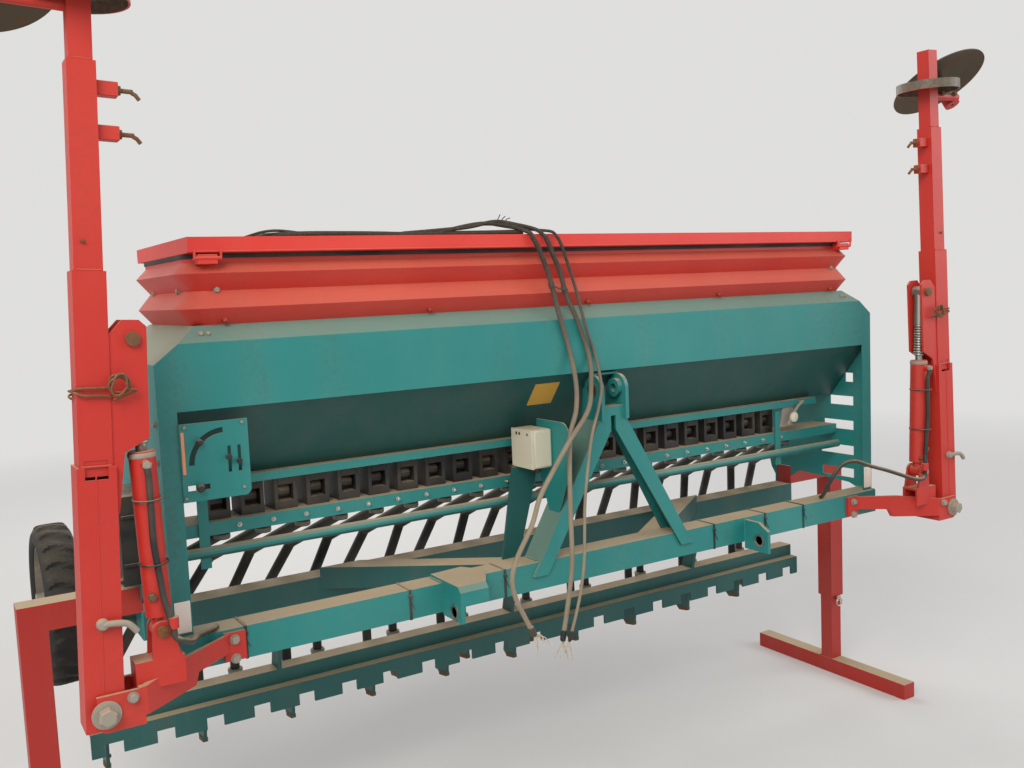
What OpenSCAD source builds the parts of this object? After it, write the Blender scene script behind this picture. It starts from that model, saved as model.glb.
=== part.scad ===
// Mounted seed drill with folding markers, parked on its two side stands.
// In the modules X runs along the hopper, Y back from the front panel and Z up from the floor.
// place() then moves all pieces along Y, so that the origin is under the machine's middle.

/* [Frame] */
// Side of the square beam tube
beam_side = 80; // [74:1:84]
// Wall of the beam tubes
beam_wall = 6; // [4:0.5:8]
// Height of the front beam's top above the floor
beam_top = 883; // [875:1:890]
// Front face of the front beam, behind the front panel when positive
beam_y = -17; // [-22:1:-12]
// Front face of the rear beam
rear_beam_y = 385; // [375:1:395]
// Drop of the rear beam's top below the front beam's top
rear_drop = 36; // [30:1:42]

/* [Hopper] */
// Width over the end panels
hopper_w = 2500; // [2440:10:2500]
// Depth of the hopper body
hopper_d = 560; // [550:1:575]
// Height of the front panel's lower edge
panel_bottom = 1417; // [1412:1:1425]
// Height of the bend at the top of the front panel
panel_bend = 1576; // [1565:1:1585]
// Height of the hopper body's rim
rim_z = 1615; // [1610:1:1630]
// Distance that the rim stands back from the front panel
rim_in = 39; // [36:1:44]
// Distance that the rim stands in from the end panels
shoulder_in = 106; // [95:1:115]
// Height at which the shoulders start
shoulder_z = 1530; // [1515:1:1545]
// Wall of the hopper sheet
sheet = 3; // [2:0.5:4]
// Height of the hopper's outlet floor
outlet_z = 1225; // [1218:1:1230]
// Front edge of the outlet floor
outlet_y = 175; // [168:1:182]
// Thickness of the end panels
panel_t = 4; // [3:0.5:6]
// Width of the end panel's front flange
flange_w = 44; // [36:1:52]

/* [Extension and lid] */
// Height of the red extension above the rim, to its gasket
ext_h = 196; // [190:1:204]
// Reach of the extension's ridges beyond its waists
ridge_out = 34; // [24:1:38]
// Corner radius of the extension
ext_corner = 45; // [38:1:60]
// Height of the lid's skirt
lid_skirt = 37; // [32:1:42]
// Height of the lid's top above the extension's rim
lid_rise = 12; // [8:1:18]
// Reach of the lid beyond the extension's waist
lid_over = 11; // [9:1:16]
// Diameter of the lid's hinge pins
hinge_pin = 8; // [6:0.5:9]

/* [Metering] */
// Number of metering units
units = 23; // [19:1:25]
// Distance between metering units
unit_pitch = 90; // [86:1:92]
// Width of one metering unit
unit_w = 62; // [54:1:68]
// Diameter of the drive shaft's cover tube
cover_tube = 28; // [22:1:32]

/* [Coulters] */
// Number of seed rows
rows = 20; // [16:2:20]
// Distance between rows
row_pitch = 140; // [130:1:140]
// Half length of the coulter rail
rail_half = 1390; // [1380:1:1400]
// Height of the coulter rail's top
rail_top = 545; // [535:1:555]
// Front face of the coulter rail
rail_y = 490; // [484:1:496]
// Wall of the folded coulter rail
rail_wall = 8; // [6:0.5:9]
// Distance between the front and the back row of coulters
row_offset = 100; // [80:1:110]
// Diameter of a seed tube
tube_d = 30; // [26:1:32]

/* [Headstock] */
// Sideways place of the hitch centre
hitch_x = 50; // [40:1:55]
// Height of the top link pin
top_link_z = 1362; // [1355:1:1368]
// Diameter of the top link bore
top_link_d = 25.5; // [22:0.1:28]
// Distance between the insides of the ears
ear_gap = 78; // [72:1:86]
// Thickness of the ears
ear_t = 12; // [10:1:14]
// From the top link to the left lower link's plate
hitch_left = 590; // [570:1:600]
// From the top link to the right lower link's plate
hitch_right = 543; // [530:1:556]
// Diameter of the lower hitch bore
lower_link_d = 28.7; // [25:0.1:30]

/* [Side stands] */
// Distance of the stand leg's outer face from the middle
stand_x = 1549; // [1545:1:1560]
// Side of the square stand tube
stand_side = 70; // [66:1:74]
// Wall of the stand tubes
stand_wall = 5; // [4:0.5:6]
// Play of the inner leg in its sleeve, on each side
leg_play = 2; // [1:0.5:3]
// Height of the sleeve's lower end
sleeve_z = 330; // [310:1:350]
// Length of the foot bar
foot_len = 765; // [740:1:790]
// Side of the foot bar
foot_side = 60; // [56:1:64]

/* [Markers] */
// Distance of the marker pivots from the middle
pivot_x = 1440; // [1436:1:1444]
// Height of the marker pivots
pivot_z = 820; // [816:1:824]
// Middle of the marker mast, front to back
mast_y = -150; // [-154:1:-148]
// Lean of the folded mast towards the hopper, in degrees
mast_lean = 2.5; // [2:0.1:3]
// Diameter of the pivot pin
pivot_pin = 25; // [20:1:28]
// Outer diameter of the cylinder's barrel
ram_d = 56; // [52:1:58]
// Diameter of the cylinder's rod
rod_d = 24; // [20:1:26]
// Diameter of the marker disc
disc_d = 338; // [320:1:344]
// Diameter of the collar dish round the mast's end
collar_d = 206; // [196:1:212]

/* [Land wheel] */
// Diameter of the land wheel
wheel_d = 480; // [460:1:484]
// Width of the land wheel's tyre
wheel_w = 105; // [95:1:108]

/* [Hidden] */

$fn = 48;
LEFT = -1;
RIGHT = 1;

teal = "#0f7f86";
dark_teal = "#0a4a4e";
red = "#d8362f";
black = "#1b1b1b";
steel = "#8d8d86";
pale = "#c9c9bd";

// Frame
beam_bottom = beam_top - beam_side;
beam_back = beam_y + beam_side;
rear_top = beam_top - rear_drop;
rear_bottom = rear_top - beam_side;
rear_back = rear_beam_y + beam_side;
brace_in = 250;
brace_out = 680;
brace_w = 76;
brace_h = 64;
brace_z = beam_bottom + 8;
post_x = hitch_x - 332;
post_y = beam_back + 37;
post_t = 8;

// Hopper
half_w = hopper_w / 2;
panel_in = half_w - panel_t;
outlet_back = hopper_d - outlet_y;
lip = 16;
slope = (outlet_y - lip) / (panel_bottom - outlet_z);
function slope_y(z) = lip + (panel_bottom - z) * slope;

// Extension: a zig-zag wall that goes round the rim
waist = rim_in;
ext_half = half_w - shoulder_in;
ext_wall = 3;
ext_top = rim_z + ext_h;
neck_in = 8;

// Lid
lid_top = ext_top + lid_rise;
lid_half = ext_half + lid_over;
lid_front = waist - ridge_out - 5;
lid_back = hopper_d - lid_front;
lid_low = lid_top - lid_skirt;
lid_sheet = 2.5;
hinge_play = 0.2;
hinge_wall = 4;
hinge_y = lid_back + 14;
hinge_z = lid_top - hinge_pin / 2 - hinge_wall;
hinge_x = [-1000, -350, 350, 1000];
hinge_w = 60;
lug_t = 6;

// Metering
unit_y = outlet_y + 3;
unit_d = 90;
unit_h = 113;
unit_low = outlet_z - unit_h;
tray_h = 34;
tray_low = unit_low - tray_h;
tray_y = unit_y - 24;
cover_y = 150;
cover_z = tray_low - 40;
foot_bar = 22;
foot_strip = [-1080, 1120];
rail_posts = [-1140, 915];

// Coulters
rail_d = 94;
rail_step = 45;
rail_ledge = 34;
rail_skirt = 70;
rail_back = 70;
notch_w = 50;
notch_h = 34;
hanger_x = [-840, 0, 840];
funnel_d = 44;
funnel_h = 60;
funnel_y = rail_y + rail_d + 84;
funnel_z = rail_top - 115;
unit_in = 170;
unit_first = unit_in - half_w;
tube_spread = 2117;
tube_x = tube_spread / (rows - 1);
tube_y = unit_y + 67;

// Headstock, with X from the hitch centre
ear_y = 5;
ear_r = 42;
ear_low = top_link_z - 92;
leg_y0 = beam_y - 8;
leg_t = 8;
leg_slope = 0.585;
leg_flange = 47;
hitch_t = 12;
hitch_front = beam_y - 103;
hitch_bore = [beam_y - 66, beam_bottom + 16];
cap_t = 10;
box_foot_z = beam_top + 132;

// Stands
stand_y = rear_beam_y + beam_side / 2 - stand_side / 2 - 5;
arm_z = rear_top;
arm_in = panel_in;
leg_side = stand_side - 2 * stand_wall - 2 * leg_play;
leg_x = stand_x - stand_side / 2;
leg_y = stand_y + stand_side / 2;
stop_pin = 16;

// Markers, worked out for the right side
plate_t = 10;
mast_gap = 3;
mast_steps = [[-40, 520, 78, 6], [500, 925, 66, 5], [905, 1350, 56, 5], [1330, 1612, 46, 4]];
mast_w = mast_steps[0][2];
clamp_z = [1210, 1300];
collar_z = 1474;
plate_front = mast_y - mast_w / 2 - mast_gap - plate_t;
plate_back = mast_y + mast_w / 2 + mast_gap;
web_x = pivot_x - 78;
lug_x = half_w - 160;
ram_base = [pivot_x - 130, pivot_z + 145];
ram_eye = ram_base + [16, 635];
ram_tilt = atan2(ram_eye[0] - ram_base[0], ram_eye[1] - ram_base[1]);
ram_len = norm(ram_eye - ram_base);
ram_pin = 16;
ram_bore_play = 0.4;
fork = 22;
lug_w = 8;

// Marker disc: hub centre in the right mast's frame, and its lean to the back
hub_world = [pivot_x + 116, mast_y + 42, pivot_z + 1466];
disc_lean = 31;
axle_d = 20;

// Land wheel
wheel_y = 840;
wheel_z = 790;
arm_pivot = [520, 800];
arm_x = -half_w - 40;
wheel_x = arm_x - 115;
arm_t = 12;
axle_wheel = 30;
axle_play = 0.6;

// The origin is under the middle of the box that holds the rigid pieces
mid_y = (wheel_y + wheel_d / 2 + mast_y - collar_d / 2) / 2;

// Cords, points chosen by hand
hose_d = 14;
cable_d = 9;
HOSE_LEFT = [[-1290, -196, 972.5], [-1290, -196, 962], [-1288, -196, 952], [-1274, -194, 940],
  [-1245, -160, 922], [-1215, -80, 905], [-1190, -45, 898], [-1163, -15, 892], [-1150, 5, 890.3]];
HOSE_RIGHT = [[1290, -196, 972.5], [1290, -196, 962], [1286, -196.5, 951], [1268, -197, 944],
  [1232, -188, 950], [1190, -165, 968], [1150, -140, 985], [1110, -110, 1000], [1060, -80, 1020],
  [1020, -55, 1005], [985, -35, 950], [975, -15, 905], [985, 8, 890.3]];
CABLE_MAIN = [[-205, -12, 1815], [-185, -14, 1780], [-160, -14, 1720], [-142, -13, 1663],
  [-118, -9.5, 1579], [-90, -9.5, 1484], [-93, -40, 1395], [-117, -70, 1319], [-160, -95, 1240],
  [-167, -95, 1069], [-168, -95, 895], [-180, -90, 792], [-210, -95, 672]];
CABLE_THIN = [[-120, -12, 1815], [-105, -16, 1780], [-70, -25, 1660], [-38, -26, 1542],
  [0, -5, 1481], [5, -20, 1427], [-11, -52, 1368], [-39, -70, 1311], [-101, -115, 1234],
  [-133, -120, 1066], [-144, -120, 894], [-163, -115, 781], [-200, -115, 674]];
HOSE_BUNDLE = [[-160, -12, 1815], [-145, -14, 1780], [-115, -14, 1710], [-94, -13, 1641],
  [-55, -9.5, 1564], [-20, -10.5, 1458], [-46, -50, 1392], [-82, -80, 1316], [-177, -115, 1239],
  [-238, -120, 1165], [-285, -120, 1097], [-314, -120, 1026], [-361, -115, 945],
  [-379, -110, 890], [-373, -110, 835], [-341, -110, 763], [-316, -110, 715]];
CABLES_ON_LID = [[-952, 129, 1830.3], [-869, 40, 1830.3], [-730, 42, 1830.3], [-635, 60, 1830.3],
  [-560, 80, 1830.3], [-432, 60, 1830.3], [-300, 40, 1830.3], [-220, 12, 1830.3]];

function along(pts, i) =
  i == 0 ? pts[1] - pts[0] :
  i == len(pts) - 1 ? pts[i] - pts[i - 1] :
  (pts[i] - pts[i - 1]) / norm(pts[i] - pts[i - 1]) + (pts[i + 1] - pts[i]) / norm(pts[i + 1] - pts[i]);
function unit(v) = v / norm(v);
// Catmull-Rom point between a list's points i and i+1
function spline(p, i, t) =
  let (a = p[max(i - 1, 0)], b = p[i], c = p[i + 1], d = p[min(i + 2, len(p) - 1)])
  0.5 * (2 * b + (c - a) * t + (2 * a - 5 * b + 4 * c - d) * t * t
    + (3 * b - a - 3 * c + d) * t * t * t);
function smooth(p, n) = [for (i = [0:len(p) - 2]) for (k = [0:n - 1]) spline(p, i, k / n), p[len(p) - 1]];

// Round tube swept along a list of points
module cord(route, d, sides = 8, fine = 3) {
  pts = smooth(route, fine);
  rings = [for (i = [0:len(pts) - 1])
    let (t = unit(along(pts, i)),
      u = unit(cross(t, abs(t[0]) > 0.8 ? [0, 1, 0] : [1, 0, 0])),
      v = cross(t, u))
    for (k = [0:sides - 1]) pts[i] + d / 2 * (cos(360 * k / sides) * u + sin(360 * k / sides) * v)];
  n = len(pts);
  faces = concat(
    [[for (k = [0:sides - 1]) k]],
    [[for (k = [sides - 1:-1:0]) (n - 1) * sides + k]],
    [for (i = [0:n - 2]) for (k = [0:sides - 1])
      [i * sides + k, (i + 1) * sides + k, (i + 1) * sides + (k + 1) % sides, i * sides + (k + 1) % sides]]);
  polyhedron(rings, faces);
}

module place() {
  translate([0, -mid_y, 0]) children();
}

module on_side(s) {
  mirror([s < 0 ? 1 : 0, 0, 0]) children();
}

// Square tube along Z from the origin, hollow
module box_tube(side, wall, len) {
  difference() {
    translate([-side / 2, -side / 2, 0]) cube([side, side, len]);
    translate([-side / 2 + wall, -side / 2 + wall, -1]) cube([side - 2 * wall, side - 2 * wall, len + 2]);
  }
}

// Cylinder along Y through a point, from y0 to y1
module y_rod(x, z, y0, y1, d) {
  translate([x, y1, z]) rotate([90, 0, 0]) cylinder(d = d, h = y1 - y0);
}

// Cylinder along X through a point, from x0 to x1
module x_rod(y, z, x0, x1, d) {
  translate([x0, y, z]) rotate([0, 90, 0]) cylinder(d = d, h = x1 - x0);
}

// Extrusion along X of a profile drawn as [y, z]
module along_x(x0, x1) {
  translate([x0, 0, 0]) rotate([90, 0, 90]) linear_extrude(x1 - x0) children();
}

// Extrusion along Y of a profile drawn as [x, z]
module along_y(y0, y1) {
  translate([0, y1, 0]) rotate([90, 0, 0]) linear_extrude(y1 - y0) children();
}

// Round bar from one point to the next, with a ball at each inner point
module bar_path(pts, d) {
  for (i = [0:len(pts) - 2]) {
    v = pts[i + 1] - pts[i];
    translate(pts[i]) rotate([0, acos(v[2] / norm(v)), atan2(v[1], v[0])]) cylinder(d = d, h = norm(v));
  }
  for (i = [1:len(pts) - 2]) translate(pts[i]) sphere(d = d + 1.5);
}

// Beam of square tube along X, closed at both ends
module capped_beam(half, y, z) {
  difference() {
    translate([-half, y, z]) cube([2 * half, beam_side, beam_side]);
    translate([-half + beam_wall, y + beam_wall, z + beam_wall])
      cube([2 * (half - beam_wall), beam_side - 2 * beam_wall, beam_side - 2 * beam_wall]);
  }
}

module front_beam() {
  color(teal) capped_beam(half_w, beam_y, beam_bottom);
}

brace_run = (brace_out - brace_in) / (rear_beam_y - beam_back);

module brace(s) {
  w = brace_w * sqrt(1 + brace_run * brace_run) / 2;
  translate([0, 0, brace_z]) linear_extrude(brace_h)
    polygon([[s * (brace_in - w), beam_back], [s * (brace_in + w), beam_back],
      [s * (brace_out + w), rear_beam_y], [s * (brace_out - w), rear_beam_y]]);
}

// Wide plate that stands on the left brace and reaches up under the electronics box
module support_post() {
  foot = brace_z + brace_h - 4;
  along_y(post_y, post_y + post_t)
    polygon([[post_x, foot], [post_x + 57, foot], [post_x + 138, box_low - 2], [post_x + 48, box_low - 2]]);
}

module rear_beam() {
  color(teal) {
    capped_beam(panel_in, rear_beam_y, rear_bottom);
    brace(LEFT);
    brace(RIGHT);
    support_post();
    // Bracket and pin of the land wheel's arm
    translate([-panel_in, rear_back - 1, rear_bottom]) cube([12, 81, beam_side]);
    x_rod(arm_pivot[0], arm_pivot[1], arm_x - arm_t / 2 - 6, -panel_in + 1, axle_wheel);
  }
}

function leg_outer(z) = ear_gap / 2 + ear_t + (ear_low - z) * leg_slope;
box_plate_t = 4;
box_plate_x = hitch_x - leg_outer(box_foot_z) + box_plate_t;
box_front = -72;
box_back = 90;
box_low = top_link_z - 214;
box_top = top_link_z - 78;
box_depth = 72;

// Channel leg of the headstock: front flange, outer web and back flange
module headstock_leg(s) {
  foot = beam_top;
  low = beam_top - 40;
  along_y(leg_y0, leg_y0 + leg_t)
    polygon([[s * (ear_gap / 2 - 30), ear_low - 32], [s * (ear_gap / 2 - 30), ear_low + 40],
      [s * (ear_gap / 2 + 2), ear_low + 40], [s * (ear_gap / 2 + 2), ear_low],
      [s * leg_outer(ear_low), ear_low], [s * leg_outer(low), low], [s * (leg_outer(low) - leg_flange), low]]);
  along_y(leg_y0 + 1, beam_back)
    polygon([[s * leg_outer(ear_low + 12), ear_low + 12], [s * leg_outer(foot), foot],
      [s * (leg_outer(foot) - 10), foot], [s * (leg_outer(ear_low + 12) - 10), ear_low + 12]]);
  along_y(beam_back - leg_t, beam_back)
    polygon([[s * leg_outer(ear_low), ear_low], [s * leg_outer(foot), foot],
      [s * (leg_outer(foot) - 34), foot], [s * (leg_outer(ear_low) - 20), ear_low]]);
}

module ear(s) {
  x = s * (ear_gap + ear_t) / 2;
  difference() {
    along_x(x - ear_t / 2, x + ear_t / 2) union() {
      translate([ear_y, top_link_z]) circle(r = ear_r);
      polygon([[ear_y - ear_r, top_link_z], [ear_y - ear_r, ear_low], [beam_back, ear_low],
        [slope_y(ear_low + 90) - 8, ear_low + 90], [slope_y(top_link_z + 46) - 4, top_link_z + ear_r],
        [ear_y, top_link_z + ear_r]]);
    }
    x_rod(ear_y, top_link_z, x - ear_t, x + ear_t, top_link_d);
  }
}

module headstock() {
  color(teal) translate([hitch_x, 0, 0]) {
    for (s = [LEFT, RIGHT]) {
      ear(s);
      headstock_leg(s);
    }
    // Bush inside the right ear
    difference() {
      x_rod(ear_y, top_link_z, ear_gap / 2 - 14, ear_gap / 2 + 1, 56);
      x_rod(ear_y, top_link_z, ear_gap / 2 - 15, ear_gap / 2 + 2, top_link_d);
    }
    translate([-ear_gap / 2 - ear_t, ear_y + 8, top_link_z + ear_r - 1])
      cube([ear_gap + 2 * ear_t, 5, 6]);
    translate([-ear_gap / 2 - 1, leg_y0, ear_low + 12]) cube([ear_gap + 2, 50, 28]);
  }
  // Plate for the electronics box, with its foot on the left leg's web
  color(teal) along_x(box_plate_x - box_plate_t, box_plate_x) union() {
    polygon([[box_front, box_low + 2], [box_front, box_top - 34], [box_front + 34, box_top],
      [box_back, box_top], [box_back, box_low + 2], [40, box_foot_z], [leg_y0 + 11, box_foot_z]]);
    translate([box_front + 34, box_top - 34]) circle(r = 34);
  }
}

module hitch_plate(x) {
  difference() {
    along_x(x - hitch_t / 2, x + hitch_t / 2)
      polygon([[beam_y, beam_bottom - 22], [beam_y, beam_top - 6], [beam_y - 62, beam_top - 6],
        [hitch_front, beam_top - 30], [hitch_front, beam_bottom - 22]]);
    x_rod(hitch_bore[0], hitch_bore[1], x - 10, x + 10, lower_link_d);
  }
}

// Bracket of the left lower link: side plate, cap on the beam and front plate
module hitch_bracket(x) {
  side = x - hitch_t / 2;
  difference() {
    along_x(side, side + hitch_t)
      polygon([[beam_y, beam_bottom - 8], [beam_y, beam_top + cap_t], [hitch_front + 14, beam_top + cap_t],
        [hitch_front, beam_top + cap_t - 14], [hitch_front, beam_bottom - 8]]);
    x_rod(hitch_bore[0], hitch_bore[1], x - 10, x + 10, lower_link_d);
  }
  translate([side, 0, beam_top]) linear_extrude(cap_t)
    polygon([[0, hitch_front + 14], [0, beam_back - 11], [101, beam_back - 1], [140, 0], [112, -62],
      [86, hitch_front + 14]]);
  translate([side, 0, 0]) along_x(0, 86)
    polygon([[hitch_front, beam_top - 40], [hitch_front, beam_top + cap_t - 14],
      [hitch_front + 14, beam_top + cap_t], [hitch_front + 14, beam_top], [hitch_front + 10, beam_top - 6],
      [hitch_front + 10, beam_top - 40]]);
}

module hitch_plates() {
  color(teal) {
    hitch_bracket(hitch_x - hitch_left);
    hitch_plate(hitch_x + hitch_right);
  }
}

// Slots near the panel's front edge: height of the middle, reach to the back
SLOTS = [[1291, 110], [1203, 181], [1111, 211], [1016, 227], [930, 222]];
slot_y = 75;
slot_h = 34;

module end_panel(s) {
  on_side(s) color(teal) {
    difference() {
      along_x(panel_in, half_w)
        polygon([[0, beam_top], [beam_back + 5, beam_top], [beam_back + 35, beam_top + 12],
          [rear_beam_y - 45, rear_top + 60], [rear_beam_y, rear_top + 30], [rear_beam_y, rear_bottom],
          [rear_back, rear_bottom], [rear_back, rear_top + 30], [rear_back + 20, rear_top + 60],
          [hopper_d, 1180], [hopper_d, panel_bottom], [0, panel_bottom]]);
      for (q = SLOTS)
        translate([panel_in - 1, slot_y, q[0] - slot_h / 2]) cube([panel_t + 2, q[1] - slot_y, slot_h]);
      translate([panel_in - 1, stand_y - 2, arm_z - 0.01])
        cube([panel_t + 2, stand_side + 4, stand_side + 2]);
    }
    translate([half_w - flange_w, 0, beam_top]) cube([flange_w - panel_t + 1, 4, panel_bottom - beam_top]);
  }
}

module end_panel_left() { end_panel(LEFT); }
module end_panel_right() { end_panel(RIGHT); }

// Form of the hopper body's upper part, moved in by t on every side
module hopper_form(t) {
  top = rim_z + (t > 0 ? 1 : 0);
  intersection() {
    along_y(t, hopper_d - t)
      polygon([[-half_w + t, panel_bottom], [half_w - t, panel_bottom], [half_w - t, shoulder_z],
        [half_w - shoulder_in - t, top], [-half_w + shoulder_in + t, top], [-half_w + t, shoulder_z]]);
    along_x(-half_w, half_w)
      polygon([[t, panel_bottom + t], [t, panel_bend - t * 0.4], [rim_in + t, top],
        [hopper_d - rim_in - t, top], [hopper_d - t, panel_bend - t * 0.4],
        [hopper_d - t, panel_bottom + t]]);
  }
}

module hopper_shell() {
  color(teal) difference() {
    union() {
      hopper_form(0);
      along_x(-panel_in, panel_in)
        polygon([[lip, panel_bottom + 1], [lip, panel_bottom], [outlet_y, outlet_z], [outlet_back, outlet_z],
          [hopper_d - lip, panel_bottom], [hopper_d - lip, panel_bottom + 1]]);
    }
    hopper_form(sheet);
    along_x(-panel_in + sheet, panel_in - sheet)
      polygon([[lip + sheet, panel_bottom + sheet + 1], [lip + sheet, panel_bottom],
        [outlet_y + sheet, outlet_z + sheet], [outlet_back - sheet, outlet_z + sheet],
        [hopper_d - lip - sheet, panel_bottom], [hopper_d - lip - sheet, panel_bottom + sheet + 1]]);
  }
}

// Zig-zag wall as [outward, z] from the waist: two ridges, then the neck
EXT_OUTER = [[0, rim_z], [ridge_out, rim_z + 40], [0, rim_z + 82], [ridge_out, rim_z + 123],
  [neck_in, rim_z + 150], [neck_in, ext_top]];
function ext_profile() = concat(EXT_OUTER,
  [for (i = [len(EXT_OUTER) - 1:-1:0]) EXT_OUTER[i] - [ext_wall, 0]]);

module extension_walls() {
  r = ext_corner;
  xl = ext_half - r;
  y0 = waist + r;
  y1 = hopper_d - waist - r;
  for (s = [LEFT, RIGHT]) on_side(s) {
    translate([ext_half, y1, 0]) rotate([90, 0, 0]) linear_extrude(y1 - y0) polygon(ext_profile());
    translate([xl, y1, 0]) rotate_extrude(angle = 90) translate([r, 0]) polygon(ext_profile());
    translate([xl, y0, 0]) rotate([0, 0, -90])
      rotate_extrude(angle = 90) translate([r, 0]) polygon(ext_profile());
  }
  along_x(-xl, xl) translate([hopper_d - waist, 0]) polygon(ext_profile());
  along_x(-xl, xl) translate([waist, 0]) mirror([1, 0]) polygon(ext_profile());
}

module hinge_lugs() {
  wall_y = hopper_d - waist + neck_in;
  for (x = hinge_x) {
    for (k = [-1, 1])
      along_x(x + k * (hinge_w / 2 + lug_t) - lug_t / 2, x + k * (hinge_w / 2 + lug_t) + lug_t / 2)
        polygon([[wall_y - 1, rim_z + 154], [hinge_y + 8, hinge_z - 14], [hinge_y + 8, hinge_z + 6],
          [hinge_y - 8, hinge_z + 6], [hinge_y - 8, rim_z + 180], [wall_y - 1, rim_z + 168]]);
    x_rod(hinge_y, hinge_z, x - hinge_w / 2 - 2 * lug_t, x + hinge_w / 2 + 2 * lug_t, hinge_pin);
  }
}

module hopper_extension() {
  color(red) {
    extension_walls();
    hinge_lugs();
  }
}

module lid() {
  color(red) {
    difference() {
      translate([-lid_half, lid_front, lid_low]) cube([2 * lid_half, lid_back - lid_front, lid_skirt]);
      translate([-lid_half + lid_sheet, lid_front + lid_sheet, lid_low - 1])
        cube([2 * (lid_half - lid_sheet), lid_back - lid_front - 2 * lid_sheet, lid_skirt + 1 - lid_sheet]);
      for (x = hinge_x)
        translate([x - hinge_w / 2 - 15, lid_back - 10, lid_low - 1]) cube([hinge_w + 30, 11, lid_skirt - 4]);
    }
    for (x = hinge_x)
      difference() {
        union() {
          x_rod(hinge_y, hinge_z, x - hinge_w / 2, x + hinge_w / 2, hinge_pin + 2 * hinge_wall);
          translate([x - hinge_w / 2, lid_back - 30, lid_top - lid_sheet]) cube([hinge_w, 44, lid_sheet]);
        }
        x_rod(hinge_y, hinge_z, x - hinge_w, x + hinge_w, hinge_pin + 2 * hinge_play);
      }
  }
}

module metering_units() {
  color(black) for (i = [0:units - 1]) {
    x = unit_first + i * unit_pitch;
    translate([x, 0, 0]) difference() {
      translate([-unit_w / 2, unit_y, unit_low]) cube([unit_w, unit_d, unit_h]);
      translate([-unit_w / 2 + 10, unit_y - 1, unit_low + 22]) cube([unit_w - 20, 40, 44]);
    }
  }
}

module metering_rail() {
  color(teal) {
    along_x(foot_strip[0], foot_strip[1])
      polygon([[outlet_y - 34, outlet_z], [unit_y, outlet_z], [unit_y, outlet_z - 3],
        [outlet_y - 31, outlet_z - 3], [outlet_y - 31, outlet_z - foot_bar],
        [outlet_y - 34, outlet_z - foot_bar]]);
    translate([-panel_in, tray_y, tray_low]) cube([2 * panel_in, unit_y - tray_y + unit_d, tray_h]);
    x_rod(cover_y, cover_z, -panel_in, panel_in, cover_tube);
    for (x = rail_posts)
      translate([x, tray_y - 5, cover_z - 42]) cube([26, 5.5, 1190 - cover_z + 42]);
  }
}

plate_w = 162;
plate_h = 186;
plate_drop = 29;
plate_r = 16;
slot_w = 13;
arc_at = [102, 86];
arc_r = 84;

module control_plate() {
  // Plate in the corner of end panel and hopper, with a curved and three straight slots
  color(teal) translate([flange_w - half_w, 0, panel_bottom - plate_drop - plate_h]) {
    difference() {
      along_y(-4, 0) difference() {
        union() {
          polygon([[0, 0], [plate_w - plate_r, 0], [plate_w, plate_r], [plate_w, plate_h], [0, plate_h]]);
          translate([plate_w - plate_r, plate_r]) circle(r = plate_r);
        }
        intersection() {
          difference() {
            translate(arc_at) circle(r = arc_r);
            translate(arc_at) circle(r = arc_r - slot_w);
          }
          translate([arc_at[0] - arc_r - 1, arc_at[1]]) square([arc_r + 1, arc_r + 1]);
        }
      }
      translate([12, -5, 26]) cube([52, 6, slot_w]);
      for (x = [plate_w - 52, plate_w - 28]) translate([x, -5, 60]) cube([8, 6, 64]);
    }
  }
}

module seed_tubes() {
  color(black) for (i = [0:rows - 1]) {
    x0 = (i - (rows - 1) / 2) * tube_x;
    x1 = (i - (rows - 1) / 2) * row_pitch;
    y1 = funnel_y + (i % 2) * row_offset;
    translate([x0, tube_y, tray_low - tray_h]) cylinder(d = tube_d + 10, h = tray_h);
    bar_path([[x0, tube_y, tray_low - 20], [x0 + 0.35 * (x1 - x0), 500, 935], [x1, y1, 560],
      [x1, y1, funnel_z + funnel_h]], tube_d);
  }
}

module coulter_rail() {
  color(teal) {
    difference() {
      along_x(-rail_half, rail_half)
        polygon([[rail_y, rail_top - rail_step], [rail_y + rail_ledge, rail_top - rail_step],
          [rail_y + rail_ledge, rail_top], [rail_y + rail_d, rail_top],
          [rail_y + rail_d, rail_top - rail_back], [rail_y + rail_d - rail_wall, rail_top - rail_back],
          [rail_y + rail_d - rail_wall, rail_top - rail_wall],
          [rail_y + rail_ledge + rail_wall, rail_top - rail_wall],
          [rail_y + rail_ledge + rail_wall, rail_top - rail_step - rail_wall],
          [rail_y + rail_wall, rail_top - rail_step - rail_wall],
          [rail_y + rail_wall, rail_top - rail_step - rail_skirt],
          [rail_y, rail_top - rail_step - rail_skirt]]);
      for (i = [0:rows - 1])
        translate([(i - (rows - 1) / 2) * row_pitch - notch_w / 2, rail_y - 1,
          rail_top - rail_step - rail_skirt - 1])
          cube([notch_w, rail_wall + 2, notch_h + 1]);
    }
    for (x = hanger_x)
      along_x(x - 6, x + 6)
        polygon([[rear_back, rear_top - 15], [rear_back, rear_bottom], [rail_y + rail_ledge, rail_top - 1],
          [rail_y + rail_d, rail_top - 1], [rear_back + 40, rear_top - 15]]);
  }
}

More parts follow.
